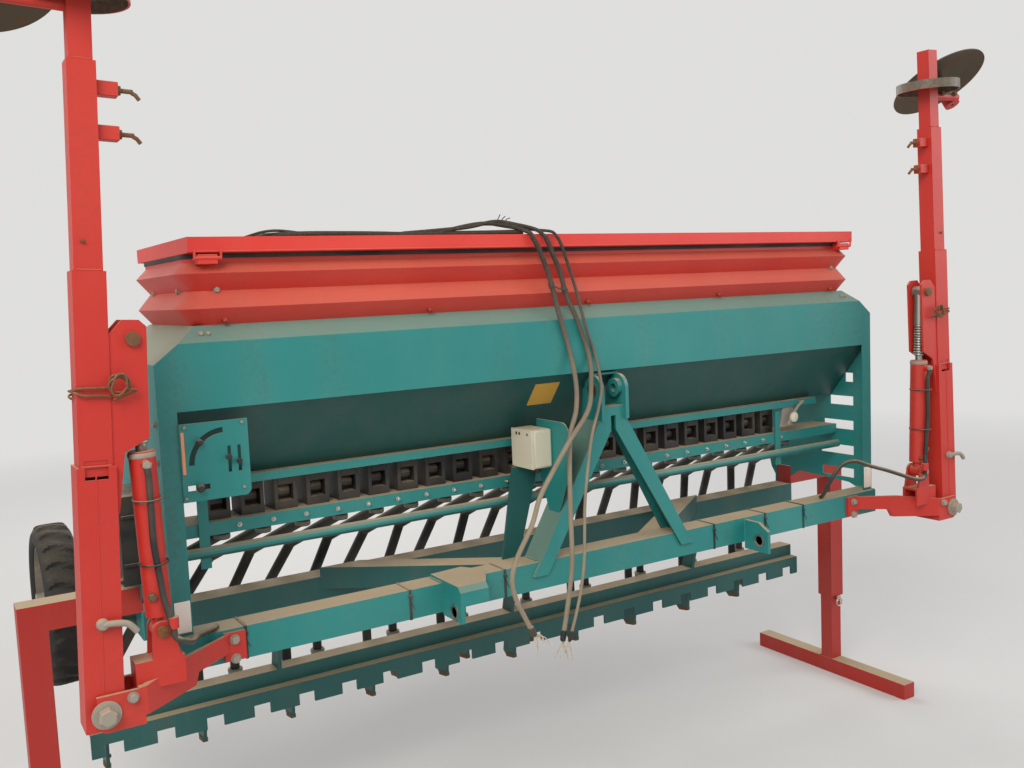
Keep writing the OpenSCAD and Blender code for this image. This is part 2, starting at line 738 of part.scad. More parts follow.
module coulters() {
  back = rail_y + rail_d;
  for (i = [0:rows - 1]) {
    x = (i - (rows - 1) / 2) * row_pitch;
    b = (i % 2) * row_offset;
    color(dark_teal) translate([x, 0, 0]) {
      translate([-26, back, rail_top - 68]) cube([52, 10, 62]);
      along_x(-5, 5)
        polygon([[back + 9, rail_top - 10], [back + 26, rail_top - 10], [funnel_y + b - 24, funnel_z + 10],
          [funnel_y + b + 24, funnel_z + 10], [funnel_y + b + 42, rail_top - 205],
          [funnel_y + b + 20, rail_top - 222], [funnel_y + b - 32, rail_top - 214],
          [funnel_y + b - 40, rail_top - 130], [back + 9, rail_top - 60]]);
      translate([0, funnel_y + b, funnel_z]) difference() {
        cylinder(d = funnel_d, h = funnel_h);
        translate([0, 0, 30]) cylinder(d = funnel_d - 8, h = funnel_h);
      }
    }
  }
}

module gearbox() {
  color(black) {
    translate([-half_w - 60, 250, 960]) cube([60, 190, 230]);
    x_rod(345, 1075, -half_w - 72, -half_w - 59, 90);
  }
}

module control_box() {
  color(pale) translate([box_plate_x - box_plate_t - box_depth, 9, box_low]) difference() {
    cube([box_depth, 110, 114]);
    // Seam of the cover and the label's shallow field on the main face
    translate([9, -1, -1]) cube([1.5, 2.2, 116]);
    translate([-1, 14, 40]) cube([1.6, 82, 52]);
  }
}

module stand_arm(s) {
  reach = stand_x - stand_side - arm_in;
  on_side(s) color(red) {
    difference() {
      translate([arm_in, stand_y, arm_z]) cube([reach + 1, stand_side, stand_side]);
      translate([arm_in + stand_wall, stand_y + stand_wall, arm_z + stand_wall])
        cube([reach - stand_wall, stand_side - 2 * stand_wall, stand_side - 2 * stand_wall]);
    }
    translate([leg_x, leg_y, sleeve_z]) box_tube(stand_side, stand_wall, arm_z + stand_side - sleeve_z);
    translate([leg_x - stand_side / 2, stand_y, arm_z + stand_side - stand_wall])
      cube([stand_side, stand_side, stand_wall]);
  }
}

module stand_leg(s) {
  on_side(s) color(red) {
    translate([leg_x, leg_y, foot_side - 1]) box_tube(leg_side, 4, sleeve_z + 260 - foot_side);
    difference() {
      translate([leg_x - foot_side / 2, leg_y - foot_len / 2, 0]) cube([foot_side, foot_len, foot_side]);
      translate([leg_x - foot_side / 2 + 4, leg_y - foot_len / 2 + 4, 4])
        cube([foot_side - 8, foot_len - 8, foot_side - 8]);
    }
    y_rod(leg_x, sleeve_z - stop_pin / 2 - 0.3, leg_y - stand_side / 2 - 12,
      leg_y + stand_side / 2 + 12, stop_pin);
  }
}

module stand_arm_left() { stand_arm(LEFT); }
module stand_arm_right() { stand_arm(RIGHT); }
module stand_leg_left() { stand_leg(LEFT); }
module stand_leg_right() { stand_leg(RIGHT); }

module marker_bracket(s) {
  low = pivot_z - 40;
  high = pivot_z + 39;
  block_x = ram_base[0] - 42;
  on_side(s) color(red) {
    // Bolted lug and the diagonal plate to the pivot
    translate([lug_x, beam_y - plate_t, beam_bottom + 4]) cube([52, plate_t, beam_side - 10]);
    difference() {
      translate([0, 0, low + 20]) linear_extrude(80)
        polygon([[lug_x + 38, beam_y], [lug_x + 38, beam_y - plate_t], [web_x - 6, plate_front],
          [web_x + plate_t, plate_front], [web_x + plate_t, plate_front + plate_t]]);
      along_y(plate_front - 1, beam_y + 1)
        polygon([[lug_x - 10, low], [lug_x + 150, low], [lug_x + 132, beam_bottom + 24],
          [lug_x - 10, beam_bottom + 28]]);
      along_y(plate_front - 1, beam_y + 1)
        polygon([[lug_x - 10, beam_top - 8], [lug_x + 160, beam_top - 8], [web_x + 20, high],
          [web_x + 20, high + 90], [lug_x - 10, high + 90]]);
    }
    // Pivot plates in front of and behind the mast, with the web between them
    for (y = [plate_front, plate_back])
      along_y(y, y + plate_t) union() {
        polygon([[web_x, low], [pivot_x, low], [pivot_x + 17, low + 16], [pivot_x + 17, high],
          [web_x, high]]);
        translate([pivot_x - 2, low + 20]) circle(r = 20);
      }
    translate([web_x, plate_front, low]) cube([plate_t, plate_back + plate_t - plate_front, high - low]);
    y_rod(pivot_x, pivot_z, plate_front - 8, plate_back + plate_t + 8, pivot_pin);
    // Base of the cylinder: folded block and two lugs with their pin
    difference() {
      translate([block_x, mast_y - 30, high - 15]) cube([web_x + plate_t - block_x, 60, 62]);
      translate([block_x - 6, mast_y - 22, high - 20]) cube([web_x - block_x + 6, 44, 59]);
    }
    for (k = [-1, 1])
      translate([0, k * (fork + lug_w / 2), 0]) along_y(mast_y - lug_w / 2, mast_y + lug_w / 2) union() {
        translate(ram_base) circle(r = 22);
        polygon([[block_x + 6, high + 40], [ram_base[0] + 26, high + 40], [ram_base[0] + 22, ram_base[1]],
          [ram_base[0] - 22, ram_base[1]]]);
      }
    y_rod(ram_base[0], ram_base[1], mast_y - fork - lug_w - 4, mast_y + fork + lug_w + 4, ram_pin);
    // Hose union on the front lug
    translate([ram_base[0] - 20, mast_y - fork - lug_w - 16, ram_base[1] + 8]) cylinder(d = 22, h = 24);
    translate([ram_base[0] - 24, mast_y - fork - lug_w - 8, ram_base[1]]) cube([12, 8.5, 20]);
  }
}

module marker_bracket_left() { marker_bracket(LEFT); }
module marker_bracket_right() { marker_bracket(RIGHT); }

// Frame of the folded mast, with its pivot at the origin and its length along Z
module mast_frame(s) {
  on_side(s) translate([pivot_x, mast_y, pivot_z]) rotate([0, -mast_lean, 0]) children();
}

// Place of a point of the right side in the mast's own frame, as [x, z]
function in_mast(p) = let (d = p - [pivot_x, pivot_z])
  [d[0] * cos(mast_lean) + d[1] * sin(mast_lean), -d[0] * sin(mast_lean) + d[1] * cos(mast_lean)];
eye = in_mast(ram_eye);
hub_at = in_mast([hub_world[0], hub_world[2]]);
hub_y = hub_world[1] - mast_y;

// Hub's own frame: its length leans back from the mast's
module hub_frame(s) {
  mast_frame(s) translate([hub_at[0], hub_y, hub_at[1]]) rotate([-disc_lean, 0, 0]) children();
}

module mast_tubes() {
  difference() {
    for (q = mast_steps)
      translate([0, 0, q[0]]) box_tube(q[2], q[3], q[1] - q[0]);
    // Rounded opening at the top of the lowest tube
    translate([0, -mast_w / 2 + 3, mast_steps[0][1] - 6]) cube([46, 10, 40], center = true);
  }
  top = mast_steps[3];
  translate([-top[2] / 2, -top[2] / 2, top[1] - 3]) cube([top[2], top[2], 3]);
  // Clamp nuts of the telescoping tubes
  for (z = clamp_z)
    x_rod(0, z, -mast_steps[2][2] / 2 - 20, -mast_steps[2][2] / 2 + 2, 30);
}

module marker_mast(s) {
  mast_frame(s) color(red) {
    difference() {
      union() {
        mast_tubes();
        y_rod(0, 0, -mast_w / 2, mast_w / 2, 44);
        for (k = [-1, 1])
          translate([0, k * (fork + lug_w / 2), 0]) along_y(-lug_w / 2, lug_w / 2)
            polygon([[-30, 395], [-44, 420], [-58, 545], [eye[0] - 29, 575], [eye[0] - 29, eye[1] + 26],
              [eye[0] - 14, eye[1] + 40], [eye[0] + 20, eye[1] + 40], [-30, eye[1] + 6]]);
      }
      y_rod(0, 0, -mast_w, mast_w, pivot_pin + ram_bore_play);
    }
    // Collar dish, hub bar and hub block
    translate([0, 0, collar_z]) difference() {
      cylinder(d = collar_d, h = 30);
      translate([0, 0, -1]) cylinder(d = collar_d - 8, h = 27);
      translate([-top_tube / 2, -top_tube / 2, -1]) cube([top_tube, top_tube, 40]);
    }
    x_rod(5, hub_at[1], top_tube / 2 - 1, hub_at[0] - 10, 24);
  }
  hub_frame(s) color(red) {
    difference() {
      translate([0, 0, -26]) cylinder(d = 52, h = 46);
      translate([0, 0, -27]) cylinder(d = 12, h = 6);
    }
    cylinder(d = axle_d, h = 116);
  }
}
top_tube = mast_steps[3][2];

module marker_mast_left() { marker_mast(LEFT); }
module marker_mast_right() { marker_mast(RIGHT); }

module marker_disc(s) {
  hub_frame(s) color(steel) difference() {
    union() {
      translate([0, 0, 28]) cylinder(d = 50, h = 84);
      translate([0, 0, 80]) rotate_extrude()
        polygon([[0, 32], [55, 30], [disc_d / 2 - 50, 18], [disc_d / 2, 0], [disc_d / 2, -4],
          [disc_d / 2 - 50, 13], [55, 25], [0, 27]]);
    }
    translate([0, 0, 20]) cylinder(d = axle_d + 0.4, h = 100);
  }
}

module marker_disc_left() { marker_disc(LEFT); }
module marker_disc_right() { marker_disc(RIGHT); }

module ram_frame(s) {
  on_side(s) translate([ram_base[0], mast_y, ram_base[1]]) rotate([0, ram_tilt, 0]) children();
}

module ram_body(s) {
  ram_frame(s) color(red) difference() {
    union() {
      y_rod(0, 0, -18, 18, 40);
      cylinder(d = 34, h = 34);
      translate([0, 0, 31]) cylinder(d = ram_d, h = 363);
      translate([0, -ram_d / 2 - 14, 368]) rotate([-90, 0, 0]) cylinder(d = 20, h = 20);
    }
    y_rod(0, 0, -30, 30, ram_pin + ram_bore_play);
    translate([0, 0, 60]) cylinder(d = rod_d + 1, h = 400);
  }
}

spring_z = [410, 520];
spring_turns = 12;

module ram_rod(s) {
  step = (spring_z[1] - spring_z[0]) / spring_turns;
  ram_frame(s) color(steel) {
    translate([0, 0, 70]) cylinder(d = rod_d, h = ram_len - 70);
    for (i = [0:spring_turns - 1])
      translate([0, 0, spring_z[0] + (i + 0.5) * step])
        rotate_extrude() translate([15, 0]) circle(d = 7, $fn = 24);
    translate([0, 0, spring_z[1]]) cylinder(d = 38, h = ram_len - spring_z[1] - 6);
    y_rod(0, ram_len, -18, 18, 40);
  }
}

module ram_body_left() { ram_body(LEFT); }
module ram_body_right() { ram_body(RIGHT); }
module ram_rod_left() { ram_rod(LEFT); }
module ram_rod_right() { ram_rod(RIGHT); }

module wheel_arm() {
  color(teal) {
    along_x(arm_x - arm_t / 2, arm_x + arm_t / 2) difference() {
      union() {
        translate(arm_pivot) circle(r = 32);
        translate([wheel_y, wheel_z]) circle(r = 28);
        polygon([[arm_pivot[0], arm_pivot[1] - 32], [wheel_y, wheel_z - 28], [wheel_y, wheel_z + 28],
          [arm_pivot[0], arm_pivot[1] + 32]]);
      }
      translate(arm_pivot) circle(d = axle_wheel + axle_play);
    }
    x_rod(wheel_y, wheel_z, wheel_x - wheel_w / 2 - 14, arm_x, axle_wheel);
  }
}

rim_r = wheel_d / 2 - 62;
seat_gap = 0.3;

module wheel_rim() {
  color(steel) translate([wheel_x, wheel_y, wheel_z]) rotate([0, 90, 0]) difference() {
    union() {
      difference() {
        cylinder(r = rim_r, h = 80, center = true);
        cylinder(r = rim_r - 5, h = 90, center = true);
      }
      translate([0, 0, -6]) cylinder(r = rim_r - 2, h = 8);
      cylinder(d = 76, h = wheel_w + 6, center = true);
    }
    cylinder(d = axle_wheel + axle_play, h = wheel_w + 20, center = true);
  }
}

module wheel_tyre() {
  color(black) translate([wheel_x, wheel_y, wheel_z]) rotate([0, 90, 0]) rotate_extrude($fn = 64)
    polygon([[rim_r + seat_gap, -wheel_w / 2 + 14], [rim_r + 10, -wheel_w / 2],
      [wheel_d / 2 - 14, -wheel_w / 2 + 4], [wheel_d / 2, -wheel_w / 2 + 20], [wheel_d / 2, wheel_w / 2 - 20], [wheel_d / 2 - 14, wheel_w / 2 - 4],
      [rim_r + 10, wheel_w / 2], [rim_r + seat_gap, wheel_w / 2 - 14]]);
}

module hose_left() { color(black) cord(HOSE_LEFT, hose_d); }
module hose_right() { color(black) cord(HOSE_RIGHT, hose_d); }
module cable_main() { color(black) cord(CABLE_MAIN, hose_d); }
module cable_thin() { color(black) cord(CABLE_THIN, cable_d); }
module hose_bundle() { color(black) cord(HOSE_BUNDLE, hose_d); }
module cables_on_lid() { color(black) cord(CABLES_ON_LID, hose_d); }

place() front_beam();
place() rear_beam();
place() headstock();
place() hitch_plates();
place() end_panel_left();
place() end_panel_right();
place() hopper_shell();
place() hopper_extension();
place() metering_units();
place() metering_rail();
place() control_plate();
place() seed_tubes();
place() coulter_rail();
place() coulters();
place() gearbox();
place() control_box();
place() stand_arm_left();
place() stand_arm_right();
place() stand_leg_left();
place() stand_leg_right();
place() marker_bracket_left();
place() marker_bracket_right();
place() marker_mast_left();
place() marker_mast_right();
place() marker_disc_left();
place() marker_disc_right();
place() ram_body_left();
place() ram_body_right();
place() ram_rod_left();
place() ram_rod_right();
place() lid();
place() wheel_arm();
place() wheel_rim();
place() wheel_tyre();
place() hose_left();
place() hose_right();
place() cable_main();
place() cable_thin();
place() hose_bundle();
place() cables_on_lid();
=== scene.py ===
import math

import bmesh
import bpy
import numpy as np
from bpy.props import FloatProperty, FloatVectorProperty, PointerProperty
from mathutils import Matrix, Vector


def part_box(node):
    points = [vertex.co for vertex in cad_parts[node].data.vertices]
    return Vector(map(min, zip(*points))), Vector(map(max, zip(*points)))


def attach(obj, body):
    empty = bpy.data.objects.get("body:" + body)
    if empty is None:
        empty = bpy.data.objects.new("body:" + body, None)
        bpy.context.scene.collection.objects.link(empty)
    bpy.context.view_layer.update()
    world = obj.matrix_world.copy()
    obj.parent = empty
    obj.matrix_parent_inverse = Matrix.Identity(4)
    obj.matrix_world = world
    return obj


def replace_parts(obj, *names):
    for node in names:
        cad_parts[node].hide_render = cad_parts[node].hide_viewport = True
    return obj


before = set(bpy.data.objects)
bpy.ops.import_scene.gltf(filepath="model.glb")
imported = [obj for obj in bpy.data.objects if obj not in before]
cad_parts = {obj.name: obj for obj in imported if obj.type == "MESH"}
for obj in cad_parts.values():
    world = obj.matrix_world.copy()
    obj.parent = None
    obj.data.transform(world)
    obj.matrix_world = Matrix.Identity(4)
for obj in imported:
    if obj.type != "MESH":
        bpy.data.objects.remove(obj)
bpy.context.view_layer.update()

bl_info = {
    "name": "Mounted seed drill",
    "version": (1, 0, 0),
    "blender": (4, 5, 0),
    "location": "3D View > Sidebar > Drill",
    "description": "Finishes, fittings, hoses and stage of a mounted seed drill",
    "category": "Object",
}

MM = 0.001
SIDES = {"left": -1, "right": 1}
FORE, AFT = (0, -1, 0), (0, 1, 0)
UP, DOWN = (0, 0, 1), (0, 0, -1)
RIGHT, LEFT = (1, 0, 0), (-1, 0, 0)

# Working frame of the pieces: millimetres, with Y = 0 on the hopper's front panel
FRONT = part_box("hopper_shell")[0].y / MM


def solid_box(name):
    """Lowest and highest corner of one solid of the frame, in the working frame."""
    return [np.array(corner) / MM - [0, FRONT, 0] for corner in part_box(name)]


# Front beam, hopper and lid
BEAM_FRONT = solid_box("front_beam")[0][1]
BEAM_BACK, BEAM_TOP = solid_box("front_beam")[1][1:]
BEAM_SIDE = 80
TIED_AT = (-1087, -643, -346, 451, 683, 868)
LID_LOW = solid_box("lid")[0][2]
PANEL_END = solid_box("end_panel_right")[1][0]
PANEL_LOW = 1417
RIM_Z = solid_box("hopper_extension")[0][2]
HOPPER_DEPTH = 560
SHOULDER_X = 1145.5

# Hitch: middles of the headstock and of both lower plates, their bores as (Y, Z), their faces from the middle
HEAD_X, TOP_BORE, EAR_FACE = 50, (5, 1362), 51
HITCH_X, LOW_BORE, HITCH_FACE = (593, -540), (-83, 819), 6

# Rows of metering units, tube tops and coulters
UNITS, UNIT_PITCH, UNIT_X = 23, 90, -1080
ROWS, ROW_PITCH, ROW_OFFSET = 20, 140, 100
ROW_MIDDLE = (ROWS - 1) / 2
ROW_Y = 668
TUBE_PITCH = 2116.8 / (ROWS - 1)

# Stand leg, drawn for the right side
LEG_X, LEG_Y = 1514, 425

# Marker, drawn for the right side; a mast tube is its top, its half width and that of the tube in it
PIVOT = np.array([1440.0, -150.0, 820.0])
SECOND_BOLT = (1385, 844)
MAST_LEAN = math.radians(2.5)
MAST_HALF = 39
MAST_TUBES = ((520, 39, 33), (925, 33, 28), (1350, 28, 23))
CLAMP_Z = (1210, 1300)
RAM_BASE = np.array([1310.0, -150.0, 965.0])
RAM_EYE = np.array([1326.0, -150.0, 1600.0])
RAM_TILT = math.atan2(RAM_EYE[0] - RAM_BASE[0], RAM_EYE[2] - RAM_BASE[2])
RAM_R = 28
DISC_HUB = (1556, -108, 2286)
DISC_TILT = math.radians(31)
DISC_FACE, DISC_BOLTS_R = 111.2, 37

# Hoses and leads, the same points as the solids they stand for
HOSE_D = 14
LEAD_D = 9
ROUTES = {
    "hose_left": [(-1290, -196, 972.5), (-1290, -196, 962), (-1288, -196, 952), (-1274, -194, 940),
                  (-1245, -160, 922), (-1215, -80, 905), (-1190, -45, 898), (-1163, -15, 892),
                  (-1150, 5, 890.3)],
    "hose_right": [(1290, -196, 972.5), (1290, -196, 962), (1286, -196.5, 951), (1268, -197, 944),
                   (1232, -188, 950), (1190, -165, 968), (1150, -140, 985), (1110, -110, 1000),
                   (1060, -80, 1020), (1020, -55, 1005), (985, -35, 950), (975, -15, 905),
                   (985, 8, 890.3)],
    "cable_main": [(-205, -12, 1815), (-185, -14, 1780), (-160, -14, 1720), (-142, -13, 1663),
                   (-118, -9.5, 1579), (-90, -9.5, 1484), (-93, -40, 1395), (-117, -70, 1319),
                   (-160, -95, 1240), (-167, -95, 1069), (-168, -95, 895), (-180, -90, 792),
                   (-210, -95, 672)],
    "cable_thin": [(-120, -12, 1815), (-105, -16, 1780), (-70, -25, 1660), (-38, -26, 1542),
                   (0, -5, 1481), (5, -20, 1427), (-11, -52, 1368), (-39, -70, 1311),
                   (-101, -115, 1234), (-133, -120, 1066), (-144, -120, 894), (-163, -115, 781),
                   (-200, -115, 674)],
    "hose_bundle": [(-160, -12, 1815), (-145, -14, 1780), (-115, -14, 1710), (-94, -13, 1641),
                    (-55, -9.5, 1564), (-20, -10.5, 1458), (-46, -50, 1392), (-82, -80, 1316),
                    (-177, -115, 1239), (-238, -120, 1165), (-285, -120, 1097), (-314, -120, 1026),
                    (-361, -115, 945), (-379, -110, 890), (-373, -110, 835), (-341, -110, 763),
                    (-316, -110, 715)],
    "cables_on_lid": [(-220, 12, 1830.3), (-300, 40, 1830.3), (-432, 60, 1830.3), (-560, 80, 1830.3),
                      (-635, 60, 1830.3), (-730, 42, 1830.3), (-869, 40, 1830.3), (-952, 129, 1830.3)],
}

# Camera, in the working frame, as the photograph was taken
CAMERA_AT = np.array([-1739.7, -2357.7, 1668.4])
CAMERA_YAW = math.radians(31.67)
CAMERA_PITCH = math.radians(5.45)
CAMERA_ROLL = math.radians(-2.46)
CAMERA_LENS = 34.68
PALE = (0.74, 0.735, 0.72)


def colour_setting(name, description, default):
    return FloatVectorProperty(name=name, description=description, default=default, size=3, min=0, max=1,
                               subtype="COLOR")


def length_setting(name, description, default, low, high):
    return FloatProperty(name=name, description=description, default=default, min=low, max=high,
                         unit="LENGTH")


class DrillFinish(bpy.types.PropertyGroup):
    teal: colour_setting("Teal paint", "Colour of the frame and hopper", (0.008, 0.200, 0.188))
    teal_faded: colour_setting("Faded teal", "Teal where sun and dust have paled it", (0.048, 0.285, 0.262))
    red: colour_setting("Red paint", "Colour of lid, markers and stands", (0.52, 0.022, 0.013))
    red_faded: colour_setting("Faded red", "Red where it has paled", (0.62, 0.050, 0.030))
    dust: colour_setting("Dust", "Colour of the barn dust on level faces", (0.46, 0.345, 0.215))
    rust: colour_setting("Rust", "Colour of rust on bare steel", (0.150, 0.060, 0.024))
    dust_amount: FloatProperty(name="Dust amount", description="How much of a level face the dust covers",
                               default=0.95, min=0, max=1, subtype="FACTOR")


class DrillFittings(bpy.types.PropertyGroup):
    bolt: length_setting("Bolt", "Width of a bolt head across its flats", 0.019, 0.008, 0.04)
    tread_depth: length_setting("Tread depth", "Height of the land wheel's tread bars", 0.009, 0.0, 0.02)
    tie_width: length_setting("Tie width", "Width of the plastic ties on the beam", 0.007, 0.003, 0.015)


def work_place(points):
    """Working frame to the frame of the solids, in metres."""
    return (np.asarray(points, float) + [0, FRONT, 0]) * MM


def turned_about_y(points, angle, origin, side):
    """p' = origin + p turned about Y by angle, mirrored in X on the left side."""
    p = np.asarray(points, float)
    c, s = math.cos(angle), math.sin(angle)
    out = np.stack([c * p[:, 0] + s * p[:, 2], p[:, 1], -s * p[:, 0] + c * p[:, 2]], 1) + origin
    out[:, 0] *= side
    return work_place(out)


def mast_place(side):
    return lambda points: turned_about_y(points, -MAST_LEAN, PIVOT, side)


def ram_place(side):
    return lambda points: turned_about_y(points, RAM_TILT, RAM_BASE, side)


def side_place(side):
    return lambda points: turned_about_y(points, 0.0, np.zeros(3), side)


def on_mast(point):
    """A right-hand point of the working frame in the mast's own: p - pivot, turned back by the lean."""
    x, y, z = np.asarray(point, float) - PIVOT
    c, s = math.cos(MAST_LEAN), math.sin(MAST_LEAN)
    return np.array([c * x + s * z, y, c * z - s * x])


def coulter_places():
    """X and Y of each coulter; every other one stands in the back row."""
    return [((i - ROW_MIDDLE) * ROW_PITCH, ROW_Y + (i % 2) * ROW_OFFSET) for i in range(ROWS)]


def circle_of(count):
    """Cosine and sine of each bolt's angle round a bolt circle."""
    angles = (2 * math.pi * k / count for k in range(count))
    return [(math.cos(a), math.sin(a)) for a in angles]


def squared(wave, power):
    """sign(w)·|w|^power, which squares off a circle drawn by a sine and a cosine."""
    return np.sign(wave) * np.abs(wave) ** power


def weld_line(start, end, count, along, middle, ripple):
    """Straight line of points whose height swells by 0.8 sin((p - middle)/ripple) over one coordinate p."""
    line = np.linspace(start, end, count)
    line[:, 2] += 0.8 * np.sin((line[:, along] - middle) / ripple)
    return line


def smooth_route(points, fine):
    """Catmull-Rom curve through the points, with fine steps between neighbours."""
    p = np.asarray(points, float)
    q = np.vstack([p[:1], p, p[-1:]])
    t = (np.arange(fine) / fine)[:, None]
    a, b, c, d = q[:-3, None], q[1:-2, None], q[2:-1, None], q[3:, None]
    s = 0.5 * (2 * b + (c - a) * t + (2 * a - 5 * b + 4 * c - d) * t**2 + (3 * b - a - 3 * c + d) * t**3)
    return np.vstack([s.reshape(-1, 3), p[-1:]])


def new_object(name, data, material=None):
    """An object of the scene at the origin, with its material where it has one."""
    obj = bpy.data.objects.new(name, data)
    bpy.context.scene.collection.objects.link(obj)
    if material:
        data.materials.append(material)
    return obj


def faces_outward(mesh):
    """Turns every closed shell's faces outwards."""
    bm = bmesh.new()
    bm.from_mesh(mesh)
    bmesh.ops.recalc_face_normals(bm, faces=bm.faces)
    bm.to_mesh(mesh)
    bm.free()


class Form:
    """Points and faces of one piece, gathered part by part and made one mesh."""

    def __init__(self, place=work_place):
        self.place = place
        self.points, self.faces, self.count = [], [], 0

    def rings(self, rings, closed=False):
        """Quads between neighbouring rings of one length, with flat ends or closed on itself."""
        rings = np.asarray(rings, float)
        n, m = rings.shape[:2]
        i, j = np.meshgrid(np.arange(n if closed else n - 1), np.arange(m), indexing="ij")
        a, b = (i + 1) % n, (j + 1) % m
        quads = np.stack([i * m + j, i * m + b, a * m + b, a * m + j], -1).reshape(-1, 4)
        self.faces += (quads + self.count).tolist()
        if not closed:
            first = np.arange(m) + self.count
            self.faces += [first[::-1].tolist(), (first + (n - 1) * m).tolist()]
        self.points.append(rings.reshape(-1, 3))
        self.count += n * m
        return self

    def turned(self, base, axis, profile, sides=24):
        """Profile of (radius, height) turned about an axis.

        p = base + height·axis + radius·(cos t·u + sin t·v), u and v being square to the axis.
        """
        axis = np.asarray(axis, float) / np.linalg.norm(axis)
        u = np.cross(axis, [0.31, 0.17, 0.93] if abs(axis[2]) < 0.9 else [1, 0, 0])
        u /= np.linalg.norm(u)
        v = np.cross(axis, u)
        t = np.arange(sides) * 2 * math.pi / sides
        circle = np.cos(t)[:, None] * u + np.sin(t)[:, None] * v
        prof = np.asarray(profile, float)
        return self.rings(np.asarray(base, float) + prof[:, 1, None, None] * axis
                          + np.maximum(prof[:, 0], 0.02)[:, None, None] * circle)

    def tube(self, path, radius, sides=10):
        """Circle of the given radius carried along a path, each ring square to the path there."""
        p = np.asarray(path, float)
        tangent = np.gradient(p, axis=0)
        tangent /= np.linalg.norm(tangent, axis=1)[:, None]
        u = np.cross(tangent[0], [0.3, 0.2, 0.93] if abs(tangent[0][2]) < 0.9 else [1, 0.1, 0])
        frames = []
        for t in tangent:
            u = u - t * (u @ t)
            u /= np.linalg.norm(u)
            frames.append((u, np.cross(t, u)))
        a = np.arange(sides) * 2 * math.pi / sides
        uv = np.array(frames)
        r = np.broadcast_to(np.asarray(radius, float), len(p))[:, None, None]
        ring = np.cos(a)[None, :, None] * uv[:, None, 0] + np.sin(a)[None, :, None] * uv[:, None, 1]
        return self.rings(p[:, None] + r * ring)

    def block(self, low, high):
        """Box between two corners."""
        lo, hi = np.minimum(low, high), np.maximum(low, high)
        corners = np.array([[x, y, z] for z in (0, 1) for x, y in ((0, 0), (1, 0), (1, 1), (0, 1))])
        return self.rings((lo + corners * (hi - lo)).reshape(2, 4, 3))

    def slab(self, outline, thickness):
        """Flat outline of points in order, pushed along its own normal by the thickness."""
        o = np.asarray(outline, float)
        normal = np.cross(o[1] - o[0], o[2] - o[1])
        normal /= np.linalg.norm(normal)
        return self.rings(np.stack([o, o + normal * thickness]))

    def washer(self, base, axis, radius, bore, height=2.2):
        """Ring whose square section is turned about the axis."""
        profile = [(radius, -0.3), (radius, height), (bore, height + 0.2), (bore, -0.3)]
        return self.turned(base, axis, profile, 28)

    def bolt(self, base, axis, across, washer=True):
        """Round washer and chamfered six-sided head, seated on base and standing along axis."""
        r = across / math.sqrt(3)
        if washer:
            self.turned(base, axis, [(r * 1.25, -0.2), (r * 1.25, 1.8), (r, 1.9)], 20)
        return self.turned(base, axis, [(r, 0.5), (r, across * 0.58), (r * 0.84, across * 0.66)], 6)

    def piece(self, name, body, finish, bevel=0.0):
        """The gathered parts as one object at the origin that rides on a body of the frame."""
        mesh = bpy.data.meshes.new(name)
        mesh.from_pydata(self.place(np.concatenate(self.points)).tolist(), [], self.faces)
        faces_outward(mesh)
        obj = new_object(name, mesh, FINISH[finish])
        if bevel:
            mod = obj.modifiers.new("edge", "BEVEL")
            mod.width = bevel * MM
            mod.segments = 2
            mod.limit_method = "ANGLE"
            mod.angle_limit = math.radians(40)
        mesh.shade_smooth()
        mesh.set_sharp_from_angle(angle=math.radians(35))
        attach(obj, body)
        return obj


def both_ways(operation):
    """An operator of Val and its reflected form, each as one Math node."""
    return (lambda self, other: self.math(operation, self, other),
            lambda self, other: self.math(operation, other, self))


class Val:
    """A socket in a sum; each operator adds its Math node."""

    def __init__(self, graph, socket):
        self.graph, self.socket = graph, socket

    def math(self, operation, a, b, clamp=False):
        return self.graph.node("ShaderNodeMath", {"operation": operation, "use_clamp": clamp}, {0: a, 1: b})

    __add__, __radd__ = both_ways("ADD")
    __sub__, __rsub__ = both_ways("SUBTRACT")
    __mul__, __rmul__ = both_ways("MULTIPLY")
    __truediv__, __rtruediv__ = both_ways("DIVIDE")
    __pow__, __rpow__ = both_ways("POWER")

    def either(self, other):
        """The larger of the two."""
        return self.math("MAXIMUM", self, other)

    def clamp(self):
        return self.math("ADD", self, 0.0, clamp=True)

    def over(self, start, width):
        """0 below start, rising to 1 over width."""
        return ((self - start) / width).clamp()


class Graph:
    """The nodes of one material or of the world, filled by expressions on them."""

    def __init__(self, owner, output):
        owner.use_nodes = True
        self.tree = owner.node_tree
        self.tree.nodes.clear()
        self.out = self.tree.nodes.new(output)

    def put(self, socket, value):
        if isinstance(value, Val):
            self.tree.links.new(value.socket, socket)
        elif socket.type == "RGBA" and len(value) == 3:
            socket.default_value = (*value, 1)
        else:
            socket.default_value = value

    def node(self, kind, settings=None, sockets=None, out=0):
        n = self.tree.nodes.new(kind)
        for key, value in (settings or {}).items():
            setattr(n, key, value)
        for key, value in (sockets or {}).items():
            self.put(n.inputs[key], value)
        return Val(self, n.outputs[out])

    def ray(self, kind):
        """1 where the light path is of the given kind."""
        return self.node("ShaderNodeLightPath", out=kind)

    def show(self, factor, a, b):
        """Sends shader a to the output, blended into b by the factor."""
        self.put(self.out.inputs[0], self.node("ShaderNodeMixShader", {}, {0: factor, 1: a, 2: b}))


